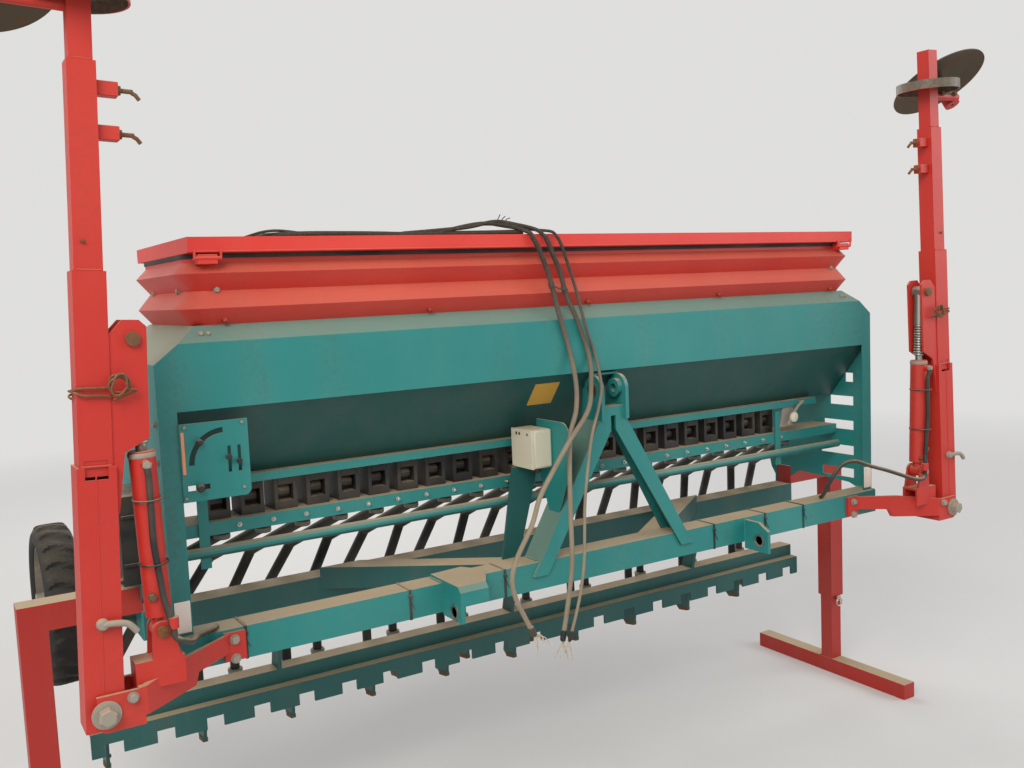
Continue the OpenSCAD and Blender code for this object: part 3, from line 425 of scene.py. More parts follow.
class Shop(Graph):
    """One material; a finish is painted by expressions on its nodes."""

    def __init__(self, name):
        self.material = bpy.data.materials.new(name)
        super().__init__(self.material, "ShaderNodeOutputMaterial")
        self.coord = self.tree.nodes.new("ShaderNodeTexCoord")
        self.shader = self.tree.nodes.new("ShaderNodeBsdfPrincipled")
        self.tree.links.new(self.shader.outputs[0], self.out.inputs[0])

    def noise(self, scale, detail=4.0, rough=0.55, stretch=(1, 1, 1)):
        place = self.node("ShaderNodeMapping", {}, {"Vector": Val(self, self.coord.outputs["Object"]),
                                                    "Scale": stretch})
        return self.node("ShaderNodeTexNoise", {}, {"Vector": place, "Scale": scale, "Detail": detail,
                                                    "Roughness": rough})

    def mix(self, factor, a, b):
        return self.node("ShaderNodeMix", {"data_type": "RGBA"}, {0: factor, 6: a, 7: b}, 2)

    def axis(self, index, of="Object"):
        """One of the object's own coordinates in metres, or of another output of Texture Coordinate."""
        return self.node("ShaderNodeSeparateXYZ", {}, {0: Val(self, self.coord.outputs[of])}, index)

    def upward(self):
        """How far the surface faces up, from the object's own normal."""
        return self.axis(2, "Normal")

    def bump(self, height, strength, distance):
        return self.node("ShaderNodeBump", {}, {"Height": height, "Strength": strength, "Distance": distance})

    def finish(self, colour, roughness, normal=None, metallic=0.0):
        self.put(self.shader.inputs["Base Color"], colour)
        self.put(self.shader.inputs["Roughness"], roughness)
        self.put(self.shader.inputs["Metallic"], metallic)
        if normal is not None:
            self.put(self.shader.inputs["Normal"], normal)
        return self.material


def finish_settings():
    return bpy.context.scene.drill_finish


def toned(colour, share):
    """The colour times a share."""
    return tuple(c * share for c in colour)


def mast_dish(shop):
    """1 on the dish round a mast's end: more than 41 mm from the axis |x| = 1.375, at the dish's height."""
    x, y, z = shop.axis(0), shop.axis(1), shop.axis(2)
    out = (x * x) ** 0.5 - 1.375
    deep = y - (FRONT + PIVOT[1]) * MM
    away = (out * out + deep * deep) ** 0.5
    return away.over(0.041, 0.001) * z.over(2.289, 0.001) * (1 - z.over(2.335, 0.001))


def painted_steel(name, colour, faded, wear, dust, grime, painted_shade_below=0.0, bare=None):
    """Sprayed paint: slow fading, rusty chips, dust that lies on level faces, and dirt that ran down.

    Faces turned to the floor are darkened by painted shade, as much as the argument for it asks; bare is the
    mask of a part that has lost its paint.
    """
    f = finish_settings()
    shop = Shop(name)
    slow = shop.noise(2.2, 5, 0.6)
    fine = shop.noise(70, 5, 0.65)
    runs = shop.noise(9, 4, 0.6, (1, 1, 0.12))
    chips = shop.noise(38, 6, 0.72)
    up = shop.upward()
    settled = up.over(0.72, 0.18) * (slow * 0.9 + fine * 0.75).over(0.42, 0.45) * (dust * f.dust_amount)
    haze = up.over(0.15, 0.35) * (slow * 0.5 + fine * 0.5 + 0.5).clamp() * 0.30
    film = ((runs.over(0.46, 0.35) * 0.055 + 0.006) + haze) * dust
    chipped = chips.over(0.70 - 0.05 * wear, 0.025) * wear
    dirt, oxide, oxide_pale = (0.045, 0.040, 0.030), (0.105, 0.082, 0.056), (0.19, 0.155, 0.11)
    paint = shop.mix(slow.over(0.35, 0.4) * 0.55, tuple(colour), tuple(faded))
    paint = shop.mix((runs * fine).over(0.30, 0.2) * grime, paint, dirt)
    # Painted shade: faces turned to the floor are darkened towards 0.12 of the paint's own colour.
    paint = shop.mix((0 - up).over(0.20, 0.35) * painted_shade_below, paint, toned(colour, 0.12))
    paint = shop.mix(chipped, paint, tuple(f.rust))
    paint = shop.mix((settled + film).clamp(), paint, tuple(f.dust))
    if bare:
        paint = shop.mix(bare(shop), paint, shop.mix(fine.over(0.35, 0.3), oxide, oxide_pale))
    rough = (0.42 + fine * 0.12 + settled * 0.40 + chipped * 0.3).clamp()
    normal = shop.bump(fine * 0.4 + settled * 0.3 - chipped * 0.6, 0.22, 0.0008)
    return shop.finish(paint, rough, normal)


def bare_steel(name, colour, rust, polish):
    """Bare or plated steel with rust that spreads from patches, and dust on level faces."""
    f = finish_settings()
    shop = Shop(name)
    patch = shop.noise(11, 7, 0.68)
    fine = shop.noise(120, 5, 0.7)
    rusty = (patch * 0.8 + fine * 0.35).over(0.72 - 0.30 * rust, 0.16)
    settled = shop.upward().over(0.35, 0.45) * fine.over(0.30, 0.4) * (0.55 * f.dust_amount)
    rust_colour = shop.mix(fine.over(0.35, 0.3), tuple(f.rust), (0.235, 0.105, 0.040))
    metal = shop.mix(rusty, tuple(colour), rust_colour)
    metal = shop.mix(settled, metal, tuple(f.dust))
    rough = (polish + rusty * 0.45 + settled * 0.3).clamp()
    metallic = (1 - rusty * 0.9 - settled).clamp()
    return shop.finish(metal, rough, shop.bump(fine * 0.7 + rusty * 0.6, 0.35, 0.0009), metallic)


def moulded(name, colour, roughness, dust, grain=160.0):
    """Moulded plastic or rubber with a fine grain and barn dust."""
    f = finish_settings()
    shop = Shop(name)
    slow = shop.noise(6, 4)
    fine = shop.noise(grain, 4, 0.6)
    settled = shop.upward().over(0.2, 0.6) * (slow + fine * 0.5).over(0.5, 0.4) * (dust * f.dust_amount)
    film = slow.over(0.40, 0.4) * (0.22 * dust)
    base = shop.mix(slow * 0.3, tuple(colour), tuple(c * 1.6 + 0.004 for c in colour))
    base = shop.mix((settled + film).clamp(), base, tuple(f.dust))
    rough = (roughness + settled * 0.35 + fine * 0.08).clamp()
    return shop.finish(base, rough, shop.bump(fine, 0.15, 0.0005))


def hanging_lead(name):
    """Rubber leads: dark by the lid, paler with dust the lower they hang."""
    f = finish_settings()
    shop = Shop(name)
    slow = shop.noise(14, 4)
    fine = shop.noise(220, 4, 0.6)
    low = 1 - shop.axis(2).over(1.15, 0.60)
    base = shop.mix(low * (slow * 0.7 + 0.5).clamp(), (0.036, 0.028, 0.020), (0.33, 0.265, 0.185))
    base = shop.mix(fine.over(0.5, 0.3) * 0.22, base, tuple(f.dust))
    return shop.finish(base, fine * 0.1 + 0.7, shop.bump(fine, 0.15, 0.0005))


FINISH = {}


def make_finishes():
    f = finish_settings()
    FINISH.update({
        # The teal paint gets painted shade on faces turned to the floor.
        "teal": painted_steel("teal_paint", f.teal, f.teal_faded, 0.4, 1.0, 0.35, painted_shade_below=0.72),
        "teal_dark": painted_steel("teal_paint_in_shade", toned(f.teal, 0.42), toned(f.teal_faded, 0.40),
                                   0.6, 1.15, 0.7),
        "red": painted_steel("red_paint", f.red, f.red_faded, 0.5, 0.7, 0.25),
        "red_mast": painted_steel("red_paint_mast", f.red, f.red_faded, 0.4, 0.6, 0.2, bare=mast_dish),
        "red_lid": painted_steel("red_paint_lid", (0.70, 0.036, 0.024), (0.80, 0.085, 0.058), 0.2, 0.5, 0.1),
        "red_pale": painted_steel("red_paint_neck", (0.58, 0.032, 0.020), (0.70, 0.080, 0.052),
                                  0.3, 0.6, 0.2),
        "red_leg": painted_steel("red_paint_stand", toned(f.red, 0.74), toned(f.red, 0.85), 0.7, 0.9, 0.4),
        "disc": bare_steel("disc_steel", (0.12, 0.098, 0.070), 0.50, 0.60),
        "steel": bare_steel("worn_steel", (0.42, 0.40, 0.36), 0.35, 0.35),
        "rusty": bare_steel("rusty_iron", (0.20, 0.15, 0.10), 1.0, 0.55),
        "zinc": bare_steel("zinc_plate", (0.55, 0.54, 0.50), 0.15, 0.34),
        "dull": moulded("dusty_zinc", (0.27, 0.245, 0.20), 0.6, 0.8),
        "black": moulded("black_plastic", (0.012, 0.012, 0.012), 0.5, 0.8),
        "rubber": moulded("black_rubber", (0.010, 0.010, 0.010), 0.62, 0.6),
        "tyre": moulded("tyre_rubber", (0.012, 0.012, 0.011), 0.75, 0.12, 90.0),
        "hose": moulded("hose_rubber", (0.014, 0.014, 0.013), 0.5, 0.8, 220.0),
        "lead": hanging_lead("dusty_lead"),
        "strand": moulded("bare_strand", (0.50, 0.44, 0.33), 0.6, 0.8, 220.0),
        "pale": moulded("pale_housing", (0.62, 0.57, 0.44), 0.45, 0.7),
        "white": moulded("white_reflector", (0.88, 0.83, 0.72), 0.25, 0.15),
        "amber": moulded("amber_label", (0.60, 0.33, 0.045), 0.4, 0.5),
        "orange": moulded("orange_strip", (0.75, 0.28, 0.14), 0.4, 0.3),
    })


# Groups of finishes with one slot name each; the dicts are built and not kept
dict.fromkeys(("red", "red_lid", "red_leg"), "red_paint")
dict.fromkeys(("steel", "rusty", "zinc", "dull"), "steel")
dict.fromkeys(("rubber", "hose", "lead", "strand"), "hose_rubber")
dict.fromkeys(("pale", "white", "amber", "orange"), "pale_plastic")

NODE_FINISH = {
    "teal": ["front_beam", "headstock", "hitch_plates", "end_panel_left", "end_panel_right", "hopper_shell",
             "control_plate", "metering_rail", "wheel_arm"],
    "teal_dark": ["rear_beam", "coulter_rail", "coulters"],
    "red": ["marker_bracket_left", "marker_bracket_right", "ram_body_left", "ram_body_right"],
    "red_mast": ["marker_mast_left", "marker_mast_right"],
    "red_lid": ["lid"],
    "red_pale": ["hopper_extension"],
    "red_leg": ["stand_arm_left", "stand_arm_right", "stand_leg_left", "stand_leg_right"],
    "disc": ["marker_disc_left", "marker_disc_right"],
    "steel": ["ram_rod_left", "ram_rod_right", "wheel_rim"],
    "black": ["metering_units", "seed_tubes", "gearbox", "control_box"],
    "tyre": ["wheel_tyre"],
    "hose": ["hose_left", "hose_right"],
    "lead": ["cable_main", "cable_thin", "hose_bundle", "cables_on_lid"],
}


class DRILL_OT_paint(bpy.types.Operator):
    """Makes the finishes and gives each solid of the frame its own"""
    bl_idname = "drill.paint"
    bl_label = "Paint the solids"

    def execute(self, context):
        make_finishes()
        for finish, names in NODE_FINISH.items():
            for name in names:
                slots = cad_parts[name].data.materials
                slots.clear()
                slots.append(FINISH[finish])
        return {"FINISHED"}


class DRILL_OT_stage(bpy.types.Operator):
    """Places the camera, the soft lamps, the pale floor and the backdrop"""
    bl_idname = "drill.stage"
    bl_label = "Stage"
    MIDDLE = (0, 0, 1.1)

    def stand(self, obj, right, up, back, at):
        """Gives an object its own axes right, up and back, and its place in metres."""
        rows = np.vstack([np.stack([right, up, back, at], 1), [0, 0, 0, 1]])
        obj.matrix_world = Matrix(rows.tolist())

    def camera(self):
        cy, sy = math.cos(CAMERA_YAW), math.sin(CAMERA_YAW)
        cp, sp = math.cos(CAMERA_PITCH), math.sin(CAMERA_PITCH)
        forward = np.array([sy * cp, cy * cp, -sp])
        right = np.array([cy, -sy, 0])
        up = np.cross(right, forward)
        cr, sr = math.cos(CAMERA_ROLL), math.sin(CAMERA_ROLL)
        right, up = cr * right + sr * up, -sr * right + cr * up
        data = bpy.data.cameras.new("photo_camera")
        data.sensor_fit = "HORIZONTAL"
        data.sensor_width = 36
        data.lens = CAMERA_LENS
        camera = new_object("photo_camera", data)
        self.stand(camera, right, up, -forward, work_place([CAMERA_AT])[0])
        bpy.context.scene.camera = camera

    def lamp(self, name, at, power, colour):
        """Square soft lamp that looks at the middle of the drill."""
        data = bpy.data.lights.new(name, "AREA")
        data.size, data.energy, data.color = 4.0, power, colour
        away = np.array(at) - self.MIDDLE
        away /= np.linalg.norm(away)
        side = np.cross(UP, away)
        side /= np.linalg.norm(side)
        self.stand(new_object(name, data), side, np.cross(away, side), away, at)

    def floor(self):
        """Pale plane, z = 0, that fades into the backdrop's colour from 3 to 10 m away."""
        shop = Shop("studio_floor")
        shop.finish(shop.mix(shop.noise(1.5, 4), (0.66, 0.645, 0.62), (0.70, 0.685, 0.66)), 0.85)
        x, y = shop.axis(0), shop.axis(1)
        far = ((x * x + y * y) ** 0.5).over(3.0, 7.0) ** 0.8
        glow = shop.node("ShaderNodeEmission", {}, {0: PALE})
        shop.show(far * shop.ray("Is Camera Ray"), Val(shop, shop.shader.outputs[0]), glow)
        mesh = bpy.data.meshes.new("studio_floor")
        half = 30.0
        mesh.from_pydata([(-half, -half, 0), (half, -half, 0), (half, half, 0), (-half, half, 0)], [],
                         [(0, 1, 2, 3)])
        new_object("studio_floor", mesh, shop.material)

    def backdrop(self):
        """World light with a pale colour of its own for the eye and for reflections."""
        world = bpy.data.worlds.new("studio")
        sky = Graph(world, "ShaderNodeOutputWorld")
        glass = sky.ray("Is Glossy Ray").either(sky.ray("Is Transmission Ray"))
        soft = sky.node("ShaderNodeBackground", {}, {0: (0.93, 0.95, 1.0), 1: 0.46})
        pale = sky.node("ShaderNodeBackground", {}, {0: PALE})
        sky.show(sky.ray("Is Camera Ray").either(glass), soft, pale)
        bpy.context.scene.world = world

    def execute(self, context):
        self.camera()
        self.lamp("key_lamp", (-4.5, -4.0, 5.5), 360, (1.0, 0.97, 0.92))
        self.lamp("fill_lamp", (5.0, -3.5, 3.5), 120, (0.93, 0.96, 1.0))
        self.lamp("back_lamp", (1.0, 5.5, 4.5), 170, (1.0, 0.98, 0.95))
        self.floor()
        self.backdrop()
        context.scene.view_settings.view_transform = "Standard"
        return {"FINISHED"}


class DRILL_OT_cords(bpy.types.Operator):
    """Lays the marker hoses, the hanging leads and the leads on the lid"""
    bl_idname = "drill.cords"
    bl_label = "Hoses and leads"

    def strands(self, name, body, tip, run, count):
        """Bare strands that spread from a stripped end and curl.

        r = tip + s·run + spread·s² + hook·s·sin 3s, with spread and hook turned on from strand to strand.
        """
        form = Form()
        across = np.cross(run, [0, 1, 0])
        across /= np.linalg.norm(across)
        s = np.linspace(0, 1, 26)[:, None]
        for k in range(count):
            turn = 2.4 * k + 0.6
            spread = across * (26 * math.cos(turn)) + np.array([0, -7 - 3 * k, 0])
            hook = across * (15 * math.sin(turn)) + np.array([0, 0, 17 + 5 * math.cos(turn)])
            form.tube(tip + run * (58 - 7 * k) * s + spread * s**2 + hook * np.sin(3 * s) * s, 1.7, 7)
        return form.piece(name + "_strands", body, "strand")

    def stripped_end(self, name, body, radius, count):
        """Sleeve on the last 26 mm of a lead, with its bare strands where it has any."""
        before, tip = np.array(ROUTES[name][-2:], float)
        run = (tip - before) / np.linalg.norm(tip - before)
        sleeve = [(radius + step, height)
                  for step, height in ((0.6, 0), (2.2, 2), (1.8, 22), (0.5, 30), (-2, 32))]
        ends = [Form().turned(tip - run * 26, run, sleeve, 12).piece(name + "_plug", body, "hose")]
        if count:
            ends.append(self.strands(name, body, tip, run, count))
        return ends

    def cord(self, name, body, diameter, far_end, stiffness, lay, finish, count):
        path = work_place(smooth_route(ROUTES[name], 6))
        curve = bpy.data.curves.new(name + "_line", "CURVE")
        curve.dimensions = "3D"
        spline = curve.splines.new("POLY")
        spline.points.add(len(path) - 1)
        spline.points.foreach_set("co", np.hstack([path, np.ones((len(path), 1))]).ravel())
        curve.bevel_depth = diameter / 2 * MM
        curve.bevel_resolution = 3
        curve.use_fill_caps = True
        obj = new_object(name + "_cord", curve, FINISH[finish])
        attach(obj, body)
        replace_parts(obj, name)
        ends = []
        if far_end == "connector":
            ends = self.stripped_end(name, body, diameter / 2, count)

    def slack(self):
        """Slack of the leads that bulges above the lid, and three whiskers of a wrap that stand up."""
        form = Form()
        runs = ((6, [-470, 66, 1829], [-420, 55, 1842], [-340, 40, 1855], [-270, 22, 1850], [-228, 4, 1836],
                 [-209, -10, 1824], [-202, -13, 1808]),
                (5.5, [-560, 84, 1833], [-480, 70, 1838], [-380, 45, 1846], [-300, 30, 1860],
                 [-240, 12, 1850], [-185, -6, 1834], [-160, -13, 1812]),
                (4.2, [-300, 34, 1852], [-240, 12, 1840], [-180, -2, 1834], [-135, -10, 1828],
                 [-120, -12, 1812]),
                (3.5, [-990, 100, 1826], [-950, 85, 1838], [-915, 70, 1841], [-870, 62, 1836],
                 [-830, 60, 1828]))
        for radius, *run in runs:
            form.tube(smooth_route(run, 6), radius)
        for k in range(3):
            form.tube([[-292 + 9 * k, 24, 1850], [-296 + 14 * k, 20, 1866],
                       [-290 + 16 * k, 16, 1879 - 5 * k]], 1.3, 6)
        form.piece("lead_slack", "lid", "lead")

    def wraps(self):
        """Wraps that hold the leads together below the lid's edge."""
        form = Form()
        barrel = [(8, -9), (9, -7), (8.6, 0), (9.2, 7), (8, 9)]
        form.turned([-146.5, -13.5, 1677], [-0.3, 0.02, 1], barrel, 14)
        form.turned([-103, -13.5, 1664], [-0.42, 0.02, 1], barrel, 14)
        form.tube([[-150, -20, 1678], [-132, -24, 1668], [-116, -23, 1662], [-98, -20, 1666]], 2.2, 7)
        form.piece("lead_wraps", "frame", "lead")

    def execute(self, context):
        self.slack()
        self.wraps()
        self.cord("hose_left", "frame", HOSE_D, "object", "stiff", "loose", "hose", 0)
        self.cord("hose_right", "frame", HOSE_D, "object", "stiff", "loose", "hose", 0)
        self.cord("cable_main", "frame", HOSE_D, "connector", "medium", "hanging", "lead", 4)
        self.cord("cable_thin", "frame", LEAD_D, "connector", "limp", "hanging", "lead", 3)
        self.cord("hose_bundle", "frame", HOSE_D, "connector", "medium", "hanging", "lead", 5)
        self.cord("cables_on_lid", "lid", HOSE_D, "connector", "medium", "loose", "lead", 0)
        return {"FINISHED"}


class DRILL_OT_beam_line(bpy.types.Operator):
    """Ties the plastic bands round the front beam and runs the weld beads of beam and headstock"""
    bl_idname = "drill.beam_line"
    bl_label = "Ties and welds on the beam"

    def ties(self, width, thick=1.6):
        form = Form()
        low_z = BEAM_TOP - BEAM_SIDE
        for x in TIED_AT:
            a, b = x - width / 2, x + width / 2
            form.block([a, BEAM_FRONT - thick, low_z - thick], [b, BEAM_FRONT + 0.1, BEAM_TOP + thick])
            form.block([a, BEAM_BACK - 0.1, low_z - thick], [b, BEAM_BACK + thick, BEAM_TOP + thick])
            form.block([a, BEAM_FRONT, BEAM_TOP - 0.1], [b, BEAM_BACK, BEAM_TOP + thick])
            form.block([a, BEAM_FRONT, low_z - thick], [b, BEAM_BACK, low_z + 0.1])
            form.block([x - 5, BEAM_FRONT - 4.5, BEAM_TOP - 22], [x + 5, BEAM_FRONT - 1, BEAM_TOP - 13])
            form.tube([[x, BEAM_FRONT - 3, BEAM_TOP - 22], [x + 2, BEAM_FRONT - 7, BEAM_TOP - 38],
                       [x + 7, BEAM_FRONT - 9, BEAM_TOP - 50]], 1.3, 6)
        form.piece("beam_ties", "frame", "black")

    def seams(self):
        """Both ends of each weld, as X, Y and the height above the beam's top."""
        for side in SIDES.values():
            outer, middle, inner = (HEAD_X + side * reach for reach in (301, 278, 254))
            panel = side * (PANEL_END - 5)
            yield (outer, -18, -41), (inner, -18, -41)
            yield (outer + side, -18, -40), (outer - side * 23, -18, -2)
            yield (middle, 0, 1), (middle, 58, 1)
            yield (panel, -16, 1), (panel, 60, 1)
        yield (587, -18, -8), (587, -18, -78)
        yield (-547, -16, 1), (-547, 50, 1)
        yield (-545, 54, 1), (-446, 62, 1)

    def welds(self):
        """Beads whose radius swells and shrinks as 3·(1 + 0.16 sin 1.25k) over their rings k."""
        form = Form()
        for seam in self.seams():
            a, b = np.array(seam) + [0, 0, BEAM_TOP]
            n = max(int(np.linalg.norm(b - a) / 2.2), 6)
            t = np.linspace(0, 1, n)
            form.tube(a + t[:, None] * (b - a), 3.0 * (1 + 0.16 * np.sin(t * n * 1.25)), 8)
        form.piece("frame_welds", "frame", "teal")

    def execute(self, context):
        self.ties(context.scene.drill_fittings.tie_width / MM)
        self.welds()
        return {"FINISHED"}


class DRILL_OT_bolts(bpy.types.Operator):
    """Sets the bolts of the hopper, the frame, the hitch and the coulter rail"""
    bl_idname = "drill.bolts"
    bl_label = "Bolts"

    def rim(self, small):
        form = Form()
        slope = np.array([0, -0.762, -0.648])
        for x in (-1070, -518, 10, 539, 1070):
            form.bolt([x, 29.6, RIM_Z + 10], slope, small)
            form.bolt([x, HOPPER_DEPTH - 29.6, RIM_Z + 10], slope * [1, -1, 1], small)
        form.piece("rim_bolts", "frame", "red_leg")

    def panels(self, across, small):
        form = Form()
        for side in SIDES.values():
            outward = (side, 0, 0)
            form.bolt([side * 1084, 37.5, RIM_Z + 84], FORE, small)
            for y in (150, 420):
                form.bolt([side * SHOULDER_X, y, RIM_Z + 84], outward, small)
            for x in (1134, 1117):
                form.bolt([side * x, 18, 1595.5], [0, -0.92, 0.38], small * 0.8)
            for z, z_behind in ((905, 995), (1100, 1100), (1300, 1300), (1390, 1390)):
                form.bolt([side * PANEL_END, 30, z], outward, small)
                form.bolt([side * PANEL_END, 535, z_behind], outward, small)
            for z in (812, 859):
                form.bolt([side * 1117, -27, z], FORE, across * 0.9)
        form.piece("frame_bolts", "frame", "dull")

    def hitch(self):
        form = Form()
        for middle in HITCH_X:
            form.washer([middle + HITCH_FACE, *LOW_BORE], RIGHT, 22, 14.6)
            form.washer([middle - HITCH_FACE, *LOW_BORE], LEFT, 22, 14.6)
        form.washer([HEAD_X + EAR_FACE, *TOP_BORE], RIGHT, 23, 13.2, 3)
        form.washer([HEAD_X - EAR_FACE, *TOP_BORE], LEFT, 23, 13.2, 3)
        form.piece("hitch_bolts", "frame", "steel")

    def rail(self, small):
        form = Form()
        for x in (-834, 6, 846):
            for z in (760, 785):
                form.bolt([x, 480, z], RIGHT, small)
        for x, _ in coulter_places():
            for dx in (-17, 17):
                for z in (486, 530):
                    form.bolt([x + dx, 594, z], AFT, small)
        form.piece("coulter_bolts", "frame", "rusty")

    def execute(self, context):
        across = context.scene.drill_fittings.bolt / MM
        small = across * 0.62
        self.rim(small)
        self.panels(across, small)
        self.hitch()
        self.rail(small)
        return {"FINISHED"}


class DRILL_OT_lid_fittings(bpy.types.Operator):
    """Puts the seal round the hopper's neck, the latches and the lid's edge beads"""
    bl_idname = "drill.lid_fittings"
    bl_label = "Lid fittings"
    NECK_X, NECK_Y, NECK_R = 1152.2, (30.8, 529.2), 53
    EDGE_X, LATCH_X = 1152, 1110

    def ring(self, out, z):
        """Rounded rectangle round the neck at height z, moved out: four quarter circles and straight runs."""
        radius = self.NECK_R + out
        x, low, high = self.NECK_X - self.NECK_R, self.NECK_Y[0] + self.NECK_R, self.NECK_Y[1] - self.NECK_R
        corners = []
        for k, (cx, cy) in enumerate(((x, high), (-x, high), (-x, low), (x, low))):
            t = np.linspace(0, np.pi / 2, 9) + k * np.pi / 2
            corners.append(np.stack([cx + radius * np.cos(t), cy + radius * np.sin(t), np.full(9, z)], 1))
        return np.concatenate(corners)

    def seal(self):
        section = ((0, -12), (2.2, -12), (2.6, -7), (2.2, -2), (0, -2))
        rings = [self.ring(out, LID_LOW + z) for out, z in section]
        Form().rings(rings, closed=True).piece("hopper_seal", "frame", "rubber")

    def latches(self):
        form = Form()
        for x in (-self.LATCH_X, self.LATCH_X):
            form.block([x - 23, -5, LID_LOW - 27], [x + 23, 31.2, LID_LOW - 4])
            form.turned([x - 33, -3, LID_LOW - 13], RIGHT, [(4.5, 0), (4.5, 66)], 12)
            for end in (x - 31, x + 31):
                hook = [[end, 6, LID_LOW - 16], [end, -2, LID_LOW - 14], [end, -4.5, LID_LOW - 4],
                        [end, -4.5, LID_LOW + 7]]
                form.tube(smooth_route(hook, 4), 3.4, 8)
        form.piece("latch_brackets", "frame", "red_lid", bevel=1.2)

    def edge(self):
        form = Form()
        for y in (-0.4, HOPPER_DEPTH + 0.4):
            ends = [-self.EDGE_X, y, LID_LOW + 2.5], [self.EDGE_X, y, LID_LOW + 2.5]
            form.tube(np.linspace(*ends, 40), 2.2, 8)
        form.piece("lid_edge", "lid", "red_lid")

    def execute(self, context):
        self.seal()
        self.latches()
        self.edge()
        return {"FINISHED"}


class DRILL_OT_panel_fittings(bpy.types.Operator):
    """Adds reflectors, the blank label, the control knobs, the electronics box and the shut-off lever"""
    bl_idname = "drill.panel_fittings"
    bl_label = "Panel fittings"

    def reflectors(self):
        form = Form()
        for side in SIDES.values():
            form.block([side * 1209, -1.8, 892], [side * 1246, 0.1, 968])
        form.piece("reflectors", "frame", "white", bevel=0.6)

    def label(self):
        """Blank plate on the hopper's front slope, y = 15.9 + (1417 - z)·0.828."""
        outline = [[x, 15.9 + (PANEL_LOW - z) * 0.828, z]
                   for x, z in ((-182, 1326), (-96, 1326), (-96, 1392), (-182, 1392))]
        Form().slab(outline, 0.9).piece("blank_label", "frame", "amber")

    def control(self):
        form = Form()
        face = -4
        form.turned([-1168, face, 1234.5], FORE, [(4, -3), (4, 8), (9, 9), (10, 16), (6, 20), (0, 20.5)], 16)
        form.turned([-1163, face, 1343], FORE, [(4, -3), (4, 7), (8, 8), (8, 14), (5, 17), (0, 17.5)], 14)
        for x, z in ((-1096, 1300), (-1072, 1288)):
            form.turned([x, face, z], FORE, [(3.5, -3), (3.5, 7), (7, 8), (7, 13), (0, 14)], 14)
        form.piece("control_knobs", "frame", "black")
        Form().block([-1203, -5.2, 1269], [-1196, -3.9, 1369]).piece("control_scale", "frame", "orange")
        bolts = Form()
        for x, z in ((-1194, 1380), (-1058, 1380), (-1200, 1212), (-1062, 1222)):
            bolts.bolt([x, face, z], FORE, 7, washer=False)
        bolts.piece("control_bolts", "frame", "dull")

    def electronics(self):
        low, high = solid_box("control_box")
        Form().block(low + [6, 0, 0], high).piece("electronics_body", "frame", "pale", bevel=7)
        cover = Form().block(low, [low[0] + 8, high[1], high[2]])
        cover.block(low + [-0.3, 12, 40], [low[0] + 1, high[1] - 12, high[2] - 22])
        for y in (low[1] + 9, high[1] - 9):
            for z in (low[2] + 9, high[2] - 9):
                cover.turned([low[0], y, z], LEFT, [(4.2, -1), (4.2, 0.6), (0, 1.0)], 14)
        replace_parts(cover.piece("electronics_cover", "frame", "pale", bevel=2.5), "control_box")
        lamps = Form()
        for y, r in ((high[1] - 30, 4.5), (high[1] - 46, 4.5), (low[1] + 22, 3.5)):
            lamps.turned([low[0] + 0.5, y, high[2] - 13], LEFT, [(r, -1), (r, 1.6), (0, 2.4)], 16)
        lamps.turned(low + [36, 30, 0], DOWN, [(11, -1), (11, 8), (9, 9), (9, 14), (6, 18)], 12)
        lamps.piece("electronics_lamps", "frame", "black")

    def shutoff(self):
        """Small lever with a round knob and its link, by the right end of the metering rail."""
        form = Form()
        form.slab([[936, 146, 1132], [1000, 146, 1132], [1012, 146, 1228], [958, 146, 1228]], -5)
        form.tube([[1046, 136, 1218], [1014, 132, 1204], [984, 130, 1172], [962, 132, 1140]], 5.5)
        form.bolt([1036, 141, 1213], FORE, 12)
        form.piece("shutoff_lever", "frame", "dull")
        ball = [(7, -2), (7, 4), (17, 6), (19, 10), (18, 15), (12, 19), (0, 20)]
        Form().turned([980, 131, 1168], FORE, ball).piece("shutoff_knob", "frame", "pale")

    def execute(self, context):
        self.reflectors()
        self.label()
        self.control()
        self.electronics()
        self.shutoff()
        return {"FINISHED"}


